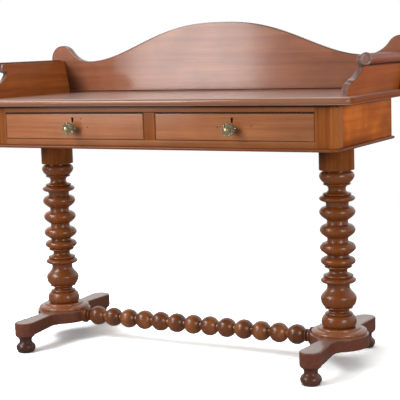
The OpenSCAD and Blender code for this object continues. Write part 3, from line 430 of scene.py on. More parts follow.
# %% Plain timbers
lining_timber = timber("lining", "Y", (0.2, 0.5, -0.5), ((132, 96, 58), (176, 138, 92), (204, 170, 124)),
                       wear=0.3, rough=0.62, coat=0.0, pores=0.1, spacing=0.009, rings=0.4)
carcase_timber = timber("carcase", "X", (0.2, 0.5, -0.4), ((112, 76, 46), (156, 114, 76), (182, 142, 102)),
                        wear=0.3, rough=0.68, coat=0.0, pores=0.1, spacing=0.01, rings=0.22)
print("timbers:", [material.name for material in bpy.data.materials if material.name.endswith("timber")])


# %% Metals and glass
def metal(name, colour, dull, rough):
    material, tree, place = start_material(name)
    old = add_node(tree, "ShaderNodeGroup", {"Vector": place, "Grime": 0.7}, node_tree=age)
    spots = noise(place, 420.0, 4.0, 0.65)
    tarnish = ramp(spots, 0.42, 0.66, 0.0, 0.6)
    surface = blend(old["Dirt and Shade"], blend(tarnish, linear(colour), linear(dull)), linear(dull, 0.4))
    return end_material(material, add_node(tree, "ShaderNodeBsdfPrincipled", {
        "Base Color": surface, "Metallic": 1.0, "Roughness": tarnish * 0.35 + rough,
        "Normal": bump(spots, 0.0001, 0.3)}))


lock_brass = metal("lock_brass", (150, 118, 60), (88, 66, 32), 0.3)
knob_metal = metal("knob_bolt_metal", (226, 214, 170), (150, 132, 88), 0.25)
screw_steel = metal("screw_steel", (150, 146, 138), (92, 80, 66), 0.35)

knob_glass, tree, place = start_material("pressed_glass")
flow = noise(place, 150.0, 3.0)
end_material(knob_glass, add_node(tree, "ShaderNodeBsdfPrincipled", {
    "Base Color": blend(flow, linear((150, 143, 112)), linear((196, 188, 154))), "IOR": 1.52,
    "Roughness": ramp(flow, 0.3, 0.7, 0.08, 0.16), "Transmission Weight": 0.7, "Normal": bump(flow, 0.0006, 0.35)}))
print("metals and glass:", lock_brass.name, knob_metal.name, screw_steel.name, knob_glass.name)

# %% [markdown]
# ## Tools for making pieces
# Every piece is drawn in millimetres as rows of points, and the rows are joined into a skin.
# The last tool closes the skin, faces it outwards, turns it into metres and hands it to its
# body. A point also carries the ridge value that the finishes read.

# %% Skins
def millimetres(node):
    """The lowest and highest corner of a CAD node."""
    return [[c / MM for c in corner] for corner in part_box(node)]


def skin(rows, ridges, caps=True, shape=None):
    """Joins rows of points, each one a closed ring, and caps the first and the last."""
    if shape is None:
        shape = bmesh.new()
        shape.verts.layers.float.new("ridge")
    ridge = shape.verts.layers.float["ridge"]
    rings = []
    for row, values in zip(rows, ridges):
        rings.append([shape.verts.new(point) for point in row])
        for vert, value in zip(rings[-1], values):
            vert[ridge] = value
    for low, high in zip(rings, rings[1:]):
        for i in range(len(low)):
            shape.faces.new((low[i - 1], low[i], high[i], high[i - 1]))
    if caps:
        shape.faces.new(rings[0][::-1])
        shape.faces.new(rings[-1])
    return shape


# %% Pieces
SHARP = math.radians(34)
JOINED, SLIVER = 0.002, 1e-7


def sew(shape):
    """Joins points that lie on one another, and turns millimetres into metres."""
    bmesh.ops.remove_doubles(shape, verts=shape.verts, dist=JOINED)
    bmesh.ops.scale(shape, vec=(MM, MM, MM), verts=shape.verts)


def mesh_of(shape, name):
    mesh = bpy.data.meshes.new(name)
    shape.to_mesh(mesh)
    shape.free()
    return mesh


def make_piece(name, shape, finish, node, body="stand", in_metres=False):
    """Closes a shape, faces it outwards and gives it to its body in place of its CAD node."""
    if not in_metres:
        sew(shape)
    bmesh.ops.dissolve_degenerate(shape, edges=shape.edges, dist=SLIVER)
    bmesh.ops.recalc_face_normals(shape, faces=shape.faces)
    mesh = mesh_of(shape, name)
    mesh.shade_smooth()
    mesh.set_sharp_from_angle(angle=SHARP)
    mesh.materials.append(finish)
    piece = put_in_scene(name, mesh)
    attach(piece, body)
    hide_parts(node)
    print("made", name, "with", len(mesh.polygons), "faces")
    return piece


def second_finish(piece, finish, chosen):
    """Gives another finish to the faces that a test on their normal and middle picks out."""
    piece.data.materials.append(finish)
    for face in piece.data.polygons:
        if chosen(face.normal, face.center):
            face.material_index = len(piece.data.materials) - 1


# %% [markdown]
# ## Outlines and boards
# A board is an outline, seen from one side, given a thickness. Real boards have no knife
# edges: each arris is rubbed round by hand. So the outline is stepped inwards round a quarter
# circle at both faces, and one more ring a little further in keeps the wear close to the edge.

# %% Outlines
FAR = 1e6
SMALL_CORNER = 4


def outline(points, arris=1.0, support=4.0):
    """An anticlockwise outline: (x, y) lies on a smooth curve, (x, y, radius) is a corner.

    Gives, for each point, where it is, the way inwards, how far that way goes before the
    corner's arc is used up, the way after that, and whether it lies on a small corner."""
    rows = []
    for i, point in enumerate(points):
        last, here, coming = (np.array(p[:2], float) for p in (points[i - 1], point, points[(i + 1) % len(points)]))
        before, after = here - last, coming - here
        long_before, long_after = np.linalg.norm(before), np.linalg.norm(after)
        before, after = before / long_before, after / long_after
        in_first, in_second = np.array((-before[1], before[0])), np.array((-after[1], after[0]))
        mitre = (in_first + in_second) / (1 + in_first @ in_second)
        if len(point) == 2:
            rows.append((*here, *mitre, FAR, 0, 0, 0))
            continue
        radius = point[2] or arris
        turn = math.atan2(before[0] * after[1] - before[1] * after[0], before @ after)
        run = radius * math.tan(abs(turn) / 2)
        small = radius <= SMALL_CORNER
        steps = 4 if small else max(4, math.ceil(math.degrees(abs(turn)) / 5))
        side = 1 if turn > 0 else -1
        rows.append((*(here - before * (run + min(support, 0.4 * long_before))), *in_first, FAR, 0, 0, 0))
        start = math.atan2(in_first[1], in_first[0])
        for angle in (start + turn * k / steps for k in range(steps + 1)):
            way = np.array((math.cos(angle), math.sin(angle)))
            rows.append((*(here + mitre * radius * side - way * radius * side), *way, radius if side > 0 else FAR,
                         *mitre, (1.0 if small else 0.35) * side))
        rows.append((*(here + after * (run + min(support, 0.4 * long_after))), *in_second, FAR, 0, 0, 0))
    return np.array(rows)


def stepped_in(line, inset):
    near, beyond = np.minimum(inset, line[:, 4])[:, None], np.maximum(inset - line[:, 4], 0)[:, None]
    return line[:, 0:2] + line[:, 2:4] * near + line[:, 5:7] * beyond


# %% Edges and plates
def arrised(thick, arris=1.0, support=4.0, base=0.0):
    """The rings of a board's edge as (inset, height, ridge), from one face to the other."""
    half = [(arris + support, 0.0, 0.0)] + [
        (arris * (1 - math.sin(a)), arris * (1 - math.cos(a)), 0.6 + 0.4 * math.sin(2 * a))
        for a in np.linspace(0, math.pi / 2, 4)]
    if thick > 2 * (arris + support):
        half.append((0.0, arris + support, 0.0))
    whole = half + [(inset, thick - height, ridge) for inset, height, ridge in half[::-1]]
    return [(inset, base + height, ridge) for inset, height, ridge in whole]


AXES = {"x": lambda a, b, h: (h, a, b), "y": lambda a, b, h: (a, h, b), "z": lambda a, b, h: (a, b, h)}


def plate(line, rings, place=AXES["z"], shape=None):
    """A board with this outline and these edge rings. place turns (x, y, height) into a point."""
    rows, ridges = [], []
    for inset, height, ridge in rings:
        rows.append([place(x, y, height) for x, y in stepped_in(line, inset)])
        corner = line[:, 7] if inset < 1e-6 else 0 * line[:, 7]
        ridges.append(np.where(corner < 0, corner, np.maximum(corner, ridge)))
    return skin(rows, ridges, shape=shape)


# %% Boards
def rectangle(low, high, *more):
    return [(x, y, *more) for x, y in ((low[0], low[1]), (high[0], low[1]), (high[0], high[1]), (low[0], high[1]))]


def board_for(node, name, finish, arris, body="stand"):
    """Straight boards, with every arris rubbed round, for the solids of a CAD node."""
    shape = None
    for low, high in loose_parts(node):
        size = [b - a for a, b in zip(low, high)]
        thin = size.index(min(size))
        a, b = (i for i in range(3) if i != thin)
        rub = min(arris, 0.2 * size[thin])
        shape = plate(outline(rectangle((low[a], low[b]), (high[a], high[b]), 0), rub),
                      arrised(size[thin], rub, base=low[thin]), AXES["xyz"[thin]], shape)
    return make_piece(name, shape, finish, node, body)


def loose_parts(node):
    """The corners of each separate solid in a CAD node, measured on a merged copy of its mesh."""
    copy = bmesh.new()
    copy.from_mesh(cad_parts[node].data)
    bmesh.ops.remove_doubles(copy, verts=copy.verts, dist=1e-6)
    waiting, found = set(copy.verts), []
    while waiting:
        group, front = [], [waiting.pop()]
        while front:
            group.append(front.pop())
            others = {edge.other_vert(group[-1]) for edge in group[-1].link_edges} & waiting
            waiting -= others
            front += others
        places = np.array([vert.co for vert in group]) / MM
        found.append((places.min(axis=0).tolist(), places.max(axis=0).tolist()))
    copy.free()
    return sorted(found)


# %% [markdown]
# ## Turned work
# A lathe makes any shape whose section is a circle. The profile is a list of radii and heights
# that is spun round an axis. The ridge value of each ring is its radius against the average of
# its neighbours, so the tops of the beads count as ridges and the necks as hollows.

# %% The lathe
def turned(profile, place, around=96, window=9.0, scale=5.0, shape=None):
    """Spins a profile of (radius, height). place turns (x, y, height) into a point."""
    line = np.array(profile, float)
    along = np.concatenate([[0], np.cumsum(np.hypot(*np.diff(line, axis=0).T))])
    near = np.linspace(-window, window, 15)
    average = np.array([np.interp(s + near, along, line[:, 0]).mean() for s in along])
    ridges = np.clip((line[:, 0] - average) / scale, -1, 1)
    turn = np.linspace(0, 2 * math.pi, around, endpoint=False)
    rows = [[place(r * math.cos(a), r * math.sin(a), h) for a in turn] for r, h in profile]
    return skin(rows, [[ridge] * around for ridge in ridges], False, shape)


# %% Sizes that several pieces share
TOP_LOW, TOP_HIGH = millimetres("top_board")
PANEL_LOW, PANEL_HIGH = millimetres("back_panel")
TABLE = TOP_HIGH[2]
COLUMN_X = 476.0
MID_Y = 8.0
PLATFORM_TOP = millimetres("platform_right")[1][2]
DISC_TOP = millimetres("base_disc_right")[1][2]
print("top", TOP_LOW, TOP_HIGH, "table height", TABLE, "mm")

# %% [markdown]
# ## The top board
# One wide board with a half-round nose along the front and both ends, and two rounded front
# corners. The nose is the outline stepped inwards by a half circle; the back edge stays
# square, because it is covered, so its points only move sideways.

# %% Top board
FACING_UP = 0.97


def half_round(low, high, flats, steps, ridge):
    """The rings of an edge that is half a circle, between flat rings."""
    radius = (high - low) / 2
    bends = np.radians(np.linspace(-90, 90, steps))
    return ([(radius + flat, low, 0) for flat in flats]
            + [(radius * (1 - math.cos(b)), low + radius * (1 + math.sin(b)), ridge * math.cos(b)) for b in bends]
            + [(radius + flat, high, 0) for flat in flats[::-1]])


CORNER_R = 34.0
line = outline([(TOP_LOW[0], TOP_LOW[1], CORNER_R), (TOP_HIGH[0], TOP_LOW[1], CORNER_R),
                (TOP_HIGH[0], TOP_HIGH[1]), (TOP_LOW[0], TOP_HIGH[1])])
back_row = line[:, 1] > TOP_HIGH[1] - 1e-6
line[back_row, 2:4] = [(-1 if x > 0 else 1, 0) for x in line[back_row, 0]]
top_piece = make_piece("top_board_polished", plate(line, half_round(TOP_LOW[2], TABLE, (12, 3), 19, 0.62)),
                       top_dust_and_sheen_timber, "top_board")
# The front of the nose and its ends take their own copies; the front's greyer rim is a painted sheen.
second_finish(top_piece, nose_timber, lambda normal, middle: normal.z < FACING_UP)
second_finish(top_piece, nose_end_timber, lambda normal, middle: (
    normal.z < FACING_UP and abs(normal.x) > max(0.05, 0.8 * math.hypot(normal.x, normal.y))))

# %% [markdown]
# ## The back panel
# Its upper edge is one long swelling curve: a crest in the middle, a valley on each side, and
# a round ear at each end. The same rule as in the CAD model draws it here, with more points.

# %% Back panel
def arc(cx, cy, r, start, end, steps):
    return [(cx + r * math.cos(a), cy + r * math.sin(a)) for a in np.radians(np.linspace(start, end, steps + 1))]


EAR_X, EAR_R, EAR_Z = 592.0, 44.0, 112.0
VALLEY_X, VALLEY_Z, CREST_Z = 486.0, 102.0, 214.0
NECK_X = EAR_X + 12
PANEL_ARRIS = 1.6


def panel_half():
    """From the crest to the foot of the right-hand end, as (x, height above the top)."""
    across, rise = EAR_X - VALLEY_X, EAR_Z - VALLEY_Z
    hollow = (across ** 2 + rise ** 2 - EAR_R ** 2) / (2 * (EAR_R + rise))
    turn = math.degrees(math.atan2(across, hollow - rise))
    below = math.degrees(math.acos((NECK_X - EAR_X) / EAR_R))
    crest = [(VALLEY_X * u, VALLEY_Z + (CREST_Z - VALLEY_Z) * (1 + math.cos(math.pi * u ** 1.25)) / 2)
             for u in np.linspace(0, 1, 61)]
    valley = arc(VALLEY_X, VALLEY_Z + hollow, hollow, -90, -90 + turn, 16)[1:]
    ear = arc(EAR_X, EAR_Z, EAR_R, 90 + turn, -below, 56)[1:-1]
    return crest + valley + ear + [(NECK_X, EAR_Z - EAR_R * math.sin(math.radians(below)), 0.8), (NECK_X, 0, 0)]


half_line = panel_half()
shape = plate(outline(half_line[::-1] + [(-x, *more) for x, *more in half_line[1:]], PANEL_ARRIS),
              arrised(PANEL_HIGH[1] - PANEL_LOW[1], PANEL_ARRIS), lambda x, z, h: (x, PANEL_LOW[1] + h, TABLE + z))
make_piece("back_panel_polished", shape, panel_timber, "back_panel")
board_for("panel_strip", "back_panel_strip", strip_timber, PANEL_ARRIS)

# %% [markdown]
# ## The side galleries
# Each gallery is a shaped board that leans outwards, with a half-round roll along its outer
# face and a turned button on the roll's end. The board is drawn flat, then leaned about the
# inner edge of its foot, and its foot is planed level with the top.

# %% Gallery boards
GALLERY_X, GALLERY_T, GALLERY_H = 567.0, 18.0, 107.0
LEAN = math.atan2(18.0, GALLERY_H)
GALLERY_FOOT_Y = TOP_LOW[1] + 53.0
GALLERY_L = PANEL_LOW[1] - GALLERY_FOOT_Y
SCROLL_Y, SCROLL_R = 91.0, 13.0


def leaned(side, out, y, up):
    """A point of the right or left gallery: out through the board, and up along it."""
    up = max(up, out * math.tan(LEAN))
    return (side * (GALLERY_X + out * math.cos(LEAN) + up * math.sin(LEAN)), y,
            TABLE - out * math.sin(LEAN) + up * math.cos(LEAN))


scroll = arc(SCROLL_Y, GALLERY_H - SCROLL_R, SCROLL_R, 90, 285, 30)
hollow = arc(24, GALLERY_H + 33, 97, -41, -85, 26)
foot = arc(24, 13, 24, 90, 180, 14)
gallery_line = outline(
    [(GALLERY_L, -8.0, 0.8), (GALLERY_L, GALLERY_H, 0.8)] + scroll[:-1] + [(*scroll[-1], 0.8), (*hollow[0], 0.8)]
    + hollow[1:-1] + [(*hollow[-1], 0.6), (30.0, GALLERY_H - 70, 0.6), (*foot[0], 0.6)] + foot[1:] + [(0.0, -8.0, 0.8)],
    1.4, 3.5)
for side, hand in HANDS:
    shape = plate(gallery_line, arrised(GALLERY_T, 1.4, 3.5),
                  lambda y, up, out: leaned(side, out, GALLERY_FOOT_Y + y, up))
    shaped = make_piece("gallery_board_" + hand, shape, gallery_timber, "gallery_" + hand)
    through = Vector((side * math.cos(LEAN), 0, -math.sin(LEAN)))
    # The board's edges take the paler edge timber: painted sheen.
    second_finish(shaped, gallery_edge_sheen_timber, lambda normal, middle: abs(normal.dot(through)) < 0.5)
    second_finish(shaped, inner_timber, lambda normal, middle: normal.dot(through) < -0.5)

# %% Rolls and buttons
def curve_through(points, steps=5):
    """A smooth line through all of the points, which never overshoots a level stretch."""
    spots = np.array([points[0], *points, points[-1]], float)
    line = []
    for before, a, b, after in zip(spots, spots[1:], spots[2:], spots[3:]):
        for t in (k / steps for k in range(steps)):
            line.append((2 * t ** 3 - 3 * t ** 2 + 1) * a + (t ** 3 - 2 * t ** 2 + t) * (b - before) / 2
                        + (-2 * t ** 3 + 3 * t ** 2) * b + (t ** 3 - t ** 2) * (after - a) / 2)
    return [tuple(p) for p in line] + [tuple(spots[-1])]


def shifted(x, y, points):
    return [(x + a, y + b) for a, b in points]


ROLL_R, BUTTON_R, BUTTON_T = 14.5, 17.0, 5.0
ROLL_OUT, ROLL_UP = 27.0, GALLERY_H - 6.0
ROLL_FRONT_Y = GALLERY_FOOT_Y + SCROLL_Y - SCROLL_R
flat_half = math.degrees(math.acos((ROLL_OUT - GALLERY_T) / ROLL_R))
first, *section, last = arc(ROLL_OUT, ROLL_UP, ROLL_R, -180 + flat_half, 180 - flat_half, 60)
roll_line = outline([(*first, 0.8), *section, (*last, 0.8)], 0.8, 3.0)
button_line = [(0, 0)] + shifted(BUTTON_R, 0, [(-1.2, 0), (-0.3, 0.4), (0, 1.2), (0, 3.2), (-0.4, 4.2)])
button_line += shifted(BUTTON_R, BUTTON_T, [(-1.4, -0.1), (-2.6, -0.2), (-3.4, -0.9), (-4.6, -1), (-7, -0.4),
                                            (-10, -0.1)]) + [(3, BUTTON_T), (0, BUTTON_T)]
for side, hand in HANDS:
    shape = plate(roll_line, arrised(PANEL_LOW[1] - ROLL_FRONT_Y, 0.8),
                  lambda out, up, y: leaned(side, out, ROLL_FRONT_Y + y, up))
    turned(curve_through(button_line, 3),
           lambda a, b, h: leaned(side, ROLL_OUT + a, ROLL_FRONT_Y - h, ROLL_UP + b), 64, 4.0, 1.2, shape)
    roll = make_piece("gallery_roll_and_button_" + hand, shape, roll_timber, "gallery_roll_" + hand)
    # The roll's front end and its button take the same paler edge timber: painted sheen.
    second_finish(roll, gallery_edge_sheen_timber, lambda normal, middle: middle.y < ROLL_FRONT_Y * MM)

# %% [markdown]
# ## The frieze
# Rails, divider, posts and end panels are plain boards, planed and rubbed. The posts are
# rounded at the outer corner to follow the top. Two mortises are cut up into the top rail, for
# the lock bolts. The moulding below is bent round the posts, with a nose worked like the top's.

# %% Corner posts, end panels, rails and divider
POST_R = 18.0
for side, hand in HANDS:
    low, high = millimetres("corner_post_" + hand)
    corners = [(x, y, 0.5) for x, y in rectangle(low, high)]
    rounded = 1 if side > 0 else 0
    corners[rounded] = (*corners[rounded][:2], POST_R)
    corners = corners if side > 0 else corners[2:] + corners[:2]
    post = make_piece("corner_post_rounded_" + hand, plate(
        outline(corners, 0.5, 3.0), arrised(high[2] - low[2], 0.4, 3.0, base=low[2])),
                      upright_timber, "corner_post_" + hand)
    # The rounded corner and the side faces take the lighter copy: painted highlight.
    second_finish(post, rounding_highlight_timber, lambda normal, middle: abs(normal.x) > 0.1 and normal.y < 0.1)
    board_for("end_panel_" + hand, "end_board_" + hand, end_timber, 0.7)

board_for("bottom_rail", "rail_under_drawers", rail_timber, 0.8)
board_for("divider", "divider_between_drawers", upright_timber, 0.6)
board_for("frieze_back", "back_board", carcase_timber, 1.2)


# %% Cutting tools for mortises and holes
def with_modifiers(thing):
    bpy.context.view_layer.update()
    return bpy.data.meshes.new_from_object(thing.evaluated_get(bpy.context.evaluated_depsgraph_get()))


def cut_away(piece, cutters):
    """Cuts shapes out of a finished piece, keeping its ridge values, and bins the cutters."""
    def spot(vert):
        return tuple(round(c, 6) for c in vert.co)
    before = {spot(v): d.value for v, d in zip(piece.data.vertices, piece.data.attributes["ridge"].data)}
    tools = []
    for shape in cutters:
        sew(shape)
        bmesh.ops.recalc_face_normals(shape, faces=shape.faces)
        tools.append(put_in_scene("cutter", mesh_of(shape, "cutter")))
        cut = piece.modifiers.new("cut", "BOOLEAN")
        cut.operation, cut.solver, cut.object = "DIFFERENCE", "EXACT", tools[-1]
    result = with_modifiers(piece)
    piece.modifiers.clear()
    old, piece.data = piece.data, result
    bpy.data.meshes.remove(old)
    for tool in tools:
        bpy.data.meshes.remove(tool.data)
    for vert, data in zip(result.vertices, result.attributes["ridge"].data):
        data.value = before.get(spot(vert), 0.0)
    result.shade_smooth()
    result.set_sharp_from_angle(angle=SHARP)
    print(piece.name, "has", len(result.polygons), "faces")


def plain_box(low, high):
    return skin([[(x, y, z) for x, y in rectangle(low, high)] for z in (low[2], high[2])], [[0] * 4] * 2)


# %% Top rail with the mortises for the lock bolts
rail = board_for("top_rail", "rail_over_drawers", rail_timber, 0.8)
rail_foot = millimetres("top_rail")[0][2]
ROOM, MORTISE_DEEP, PAST = 2, 9, 1
bolts = [millimetres(hand + "_lock_bolt") for _, hand in HANDS]
cut_away(rail, [plain_box((low[0] - ROOM, low[1] - ROOM, rail_foot - PAST),
                          (high[0] + ROOM, high[1] + ROOM, rail_foot + MORTISE_DEEP)) for low, high in bolts])

# %% Moulding
MOULD_LOW, MOULD_HIGH = millimetres("moulding_front")
MOULD_R = 27.0


def moulding(name, node, corners, still, finish):
    """still says which points of the outline lie against the frieze and don't move inwards."""
    line = outline(corners)
    line[[still(x, y) for x, y in line[:, :2]], 2:4] = 0
    rings = half_round(MOULD_LOW[2], MOULD_HIGH[2], (1,), 13, 0.8)
    make_piece(name, plate(line, rings), finish, node)


front_corners = rectangle(MOULD_LOW, MOULD_HIGH)
front_corners = [front_corners[3]] + [(*corner, MOULD_R) for corner in front_corners[:2]] + [front_corners[2]]
moulding("moulding_along_front", "moulding_front", front_corners,
         lambda x, y: y > MOULD_HIGH[1] - 0.01, moulding_timber)
for side, hand in HANDS:
    low, high = millimetres("moulding_" + hand)
    inner = low[0] if side > 0 else high[0]
    moulding("moulding_along_end_" + hand, "moulding_" + hand, rectangle(low, high),
             lambda x, y: abs(x - inner) < 0.01, end_moulding_timber)

# %% [markdown]
# ## The turned columns and their discs
# Each column is one long turning: a ball and several thin rings with quick changes of slope,
# and a plain drum under the frieze. A disc with a step and a rounded edge carries it.

# %% Column profile
def half_bead(peak_z, peak_r, neck_z, neck_r, kind):
    """Half a bead, from its peak to its neck, as (radius, height)."""
    line = []
    for u in np.linspace(0, 1, 13):
        swell = (1 + math.cos(math.pi * u)) / 2 if kind == "ogee" else math.cos(math.pi / 2 * u)
        run = math.sin(math.pi / 2 * u) if kind == "round" else u
        line.append((neck_r + (peak_r - neck_r) * swell, peak_z + (neck_z - peak_z) * run))
    return line


def bead(low_z, low_r, low_kind, peak_z, peak_r, high_z, high_r, high_kind):
    lower = half_bead(peak_z, peak_r, low_z, low_r, low_kind)[::-1]
    return lower + half_bead(peak_z, peak_r, high_z, high_r, high_kind)[1:]


def cove(low_z, low_r, high_z, high_r, deep_r):
    line = []
    for u in np.linspace(0, 1, 15):
        edge = low_r + (high_r - low_r) * u
        line.append((edge - (edge - deep_r) * math.sqrt(max(0, 1 - (2 * u - 1) ** 2)), low_z + (high_z - low_z) * u))
    return line


def collar(middle, radius, half):
    """A thin half-round ring between two quirks."""
    return [(radius - drop, middle + part * half) for drop, part in (
        (3.2, -1), (1, -0.75), (0.1, -0.3), (0, 0), (0.1, 0.3), (1, 0.75), (3.2, 1))]


column_line = [(38, 0)]
column_line += bead(0, 42, "round", 14, 50, 35, 37, "round") + collar(38, 39.5, 2.4)
column_line += cove(41, 36, 53.5, 36, 29) + collar(56, 40.5, 2.3)
column_line += bead(59, 38, "round", 84, 51, 115, 32.4, "ogee") + [(32, 120)]
column_line += bead(126.5, 34, "round", 135.6, 50.5, 143.5, 41, "slope") + collar(148, 43.2, 3.4)
column_line += cove(152.5, 37.5, 171, 36, 25.9) + collar(174, 39.5, 2.4)
column_line += bead(177.5, 38, "slope", 190.5, 50.1, 203, 31.5, "round")
column_line += bead(208, 30.4, "slope", 228.6, 51, 245, 31.6, "round") + [(29.8, 250)]
column_line += bead(257, 29.8, "slope", 279.6, 50.2, 296, 31.6, "round") + [(29.8, 301)]
column_line += bead(308, 29.8, "slope", 331.2, 51, 347, 32.6, "round") + [(32, 354)]
column_line += bead(361, 34, "round", 370.6, 50.9, 379, 39, "slope") + collar(382.4, 40.6, 2.4)
column_line += cove(385.5, 36.5, 408, 36, 24.8) + collar(410.6, 39.2, 2.2)
column_line += bead(413.5, 36.8, "slope", 434, 49.8, 446, 39.6, "round")
column_line += [(39.4, 449.5), (47, 450.3), (49.4, 451), (50, 452), (50, 456), (50, 516), (50, 521)]
print("column profile:", len(column_line), "points")

# %% Columns and base discs
def standing(x, y, z=0.0):
    return lambda a, b, h: (x + a, y + b, z + h)


SPIGOT_R, SPIGOT_FROM, SPIGOT_TO = 20.0, 70.0 - DISC_TOP, 653.0 - DISC_TOP
DRUM_FOOT = (DISC_TOP + 450.5) * MM
spigoted = [(0, SPIGOT_FROM), (SPIGOT_R, SPIGOT_FROM), (SPIGOT_R, 0)] + column_line
spigoted += [(SPIGOT_R, 521), (SPIGOT_R, SPIGOT_TO), (0, SPIGOT_TO)]
disc_line = [(22, 0), (70, 0), (78, 0)] + arc(74, 6, 6, -50, 40, 8)
disc_line += [(76.5, 11.6), (72, 13.4), (67, 14.2), (64.4, 14.5), (62.6, 15), (62, 15.7), (61.8, 17.5),
              (61, 19), (60, 19.7), (58.6, 20), (54, 20), (22, 20), (22, 0)]
for side, hand in HANDS:
    shape = turned(spigoted, standing(side * COLUMN_X, MID_Y, DISC_TOP), 120, 10.0, 6.0)
    column = make_piece("turned_column_" + hand, shape, turned_timber, "column_" + hand)
    second_finish(column, drum_timber, lambda normal, middle: middle.z > DRUM_FOOT)
    shape = turned(disc_line, standing(side * COLUMN_X, MID_Y, PLATFORM_TOP), 120, 6.0, 3.0)
    make_piece("turned_base_disc_" + hand, shape, disc_timber, "base_disc_" + hand)

# %% [markdown]
# ## Platforms and feet
# Each platform is sawn from one thick plank: a round middle, two narrow waists and two round
# ends, with a shallow arch underneath. Its upper and lower faces are made as strips from one
# side to the other, so the arch bends smoothly. A turned bun foot is dowelled into each end.

# %% Platforms
PLATFORM_LOW, PLATFORM_T = 54.0, 40.0
MIDDLE_R, WAIST_X, WAIST_R, END_Y, END_R = 85.0, 69.0, 45.0, 215.0, 31.0
ARCH, ARCH_HALF = 4.5, END_Y - END_R
COLLAR_X = 395.4
waist_y = math.sqrt((MIDDLE_R + WAIST_R) ** 2 - WAIST_X ** 2)
run_long = math.hypot(WAIST_X, END_Y - waist_y)
run_way = math.degrees(math.atan2(END_Y - waist_y, -WAIST_X) - math.asin((WAIST_R + END_R) / run_long))
waist_from = math.degrees(math.atan2(waist_y, WAIST_X))
end_round = arc(0, END_Y, END_R, run_way - 90, 90, 20)
quarter = arc(0, 0, MIDDLE_R, 0, waist_from, 26)
quarter += arc(WAIST_X, waist_y, WAIST_R, 180 + waist_from, run_way + 90, 16)[1:]
(from_x, from_y), (to_x, to_y) = quarter[-1], end_round[0]
quarter += [(from_x + (to_x - from_x) * u, from_y + (to_y - from_y) * u) for u in np.linspace(0, 1, 9)[1:-1]]
quarter += end_round
half_plan = [(x, -y) for x, y in quarter[:0:-1]] + quarter
plan = outline(half_plan + [(-x, y) for x, y in half_plan[-2:0:-1]])
platform_rings = [
    (7.0, 0.0, 0.0), (2.4, 0.0, 0.5), (0.8, 0.6, 0.9), (0.0, 2.4, 0.5), (0.0, 6.0, 0.0), (0.0, 34.0, 0.0),
    (0.0, 36.6, 0.5), (0.7, 38.8, 1.0), (1.6, 39.6, 1.0), (3.0, PLATFORM_T, 0.5), (8.0, PLATFORM_T, 0.0)]
for side, hand in HANDS:
    rows = []
    for inset, height, _ in platform_rings:
        rows.append([(side * (COLUMN_X + max(x, COLLAR_X - COLUMN_X + 0.6 * inset)), MID_Y + y,
                      PLATFORM_LOW + height + ARCH * max(0, 1 - (y / ARCH_HALF) ** 2) * (1 - height / PLATFORM_T))
                     for x, y in stepped_in(plan, inset)])
    shape = skin(rows, [[ridge] * len(plan) for _, _, ridge in platform_rings], caps=False)
    verts = list(shape.verts)
    for ring in (verts[:len(plan)], verts[-len(plan):]):
        for i in range(len(half_plan) - 1):
            shape.faces.new(dict.fromkeys((ring[i], ring[i + 1], ring[-i - 1], ring[-i])))
    platform = make_piece("platform_shaped_" + hand, shape, base_timber, "platform_" + hand)
    # Its upper face takes the lighter copy: dust and painted sheen.
    second_finish(platform, platform_top_dust_and_sheen_timber, lambda normal, middle: normal.z > 0.8 and middle.z > 0.09)

# %% Bun feet
BUN_R = 29.8
foot_line = [(0, 0), (17, 0), (20.4, 0.2), (22.6, 0.9), (24.8, 2.4)]
foot_line += [(BUN_R * (0.62 + 0.38 * math.cos(a)), 15.5 + 12.5 * math.sin(a))
              for a in np.radians(np.linspace(-52, 44, 20))]
foot_line += curve_through([(24.4, 26.4), (21.4, 29.4), (19.6, 33), (19.2, 37), (19.8, 41), (22, 45), (25.4, 48.4)], 4)
foot_line += [(27.6, 49.6), (28.9, 51), (29.5, 52.4), (29.5, 54), (9, 54), (9, 78), (0, 78)]
for side, hand in HANDS:
    for end, where in ((-1, "front"), (1, "back")):
        shape = turned(foot_line, standing(side * COLUMN_X, MID_Y + end * END_Y), 80, 8.0, 5.0)
        make_piece("bun_foot_" + where + "_" + hand, shape, foot_timber, "foot_" + where + "_" + hand)
print("foot profile:", len(foot_line), "points")

# %% [markdown]
# ## Tools for Geometry Nodes
# What repeats or follows a rule is made by Geometry Nodes: the stretcher's bobbins, the petals
# of the knobs and the screws. Each tree has named inputs. They are set on the modifier by the
# socket's identifier, then the result is kept as a plain mesh and the modifier is dropped.

# %% Geometry node helpers
def place_of(tree):
    return add_node(tree, "GeometryNodeInputPosition")


def end_geometry(tree, geometry, finish):
    """Ends a tree as the export needs it: real geometry with its finish on it."""
    real = add_node(tree, "GeometryNodeRealizeInstances", {"Geometry": geometry})
    end_group(tree, {"Geometry": add_node(tree, "GeometryNodeSetMaterial", {"Geometry": real, "Material": finish})})


def run_geometry(tree, start_mesh, values):
    """Runs a tree on a mesh and returns the result as a bmesh, in metres."""
    holder = put_in_scene("holder", start_mesh)
    modifier = holder.modifiers.new("tree", "NODES")
    modifier.node_group = tree
    for item in tree.interface.items_tree:
        if item.item_type == "SOCKET" and item.in_out == "INPUT" and item.name in values:
            modifier[item.identifier] = values[item.name]
    result = with_modifiers(holder)
    bpy.data.meshes.remove(start_mesh)
    shape = bmesh.new()
    shape.from_mesh(result)
    bpy.data.meshes.remove(result)
    if "ridge" not in shape.verts.layers.float:
        shape.verts.layers.float.new("ridge")
    return shape


# %% [markdown]
# ## The bobbin-turned stretcher
# Thirteen equal balls follow one rule: a ball, a narrow neck, a ball. The tree starts from a
# flat grid. Along the grid, a number counts the balls, and what is left over is the angle on
# that ball's own arc. Across the grid, a second number is the angle round the axis.

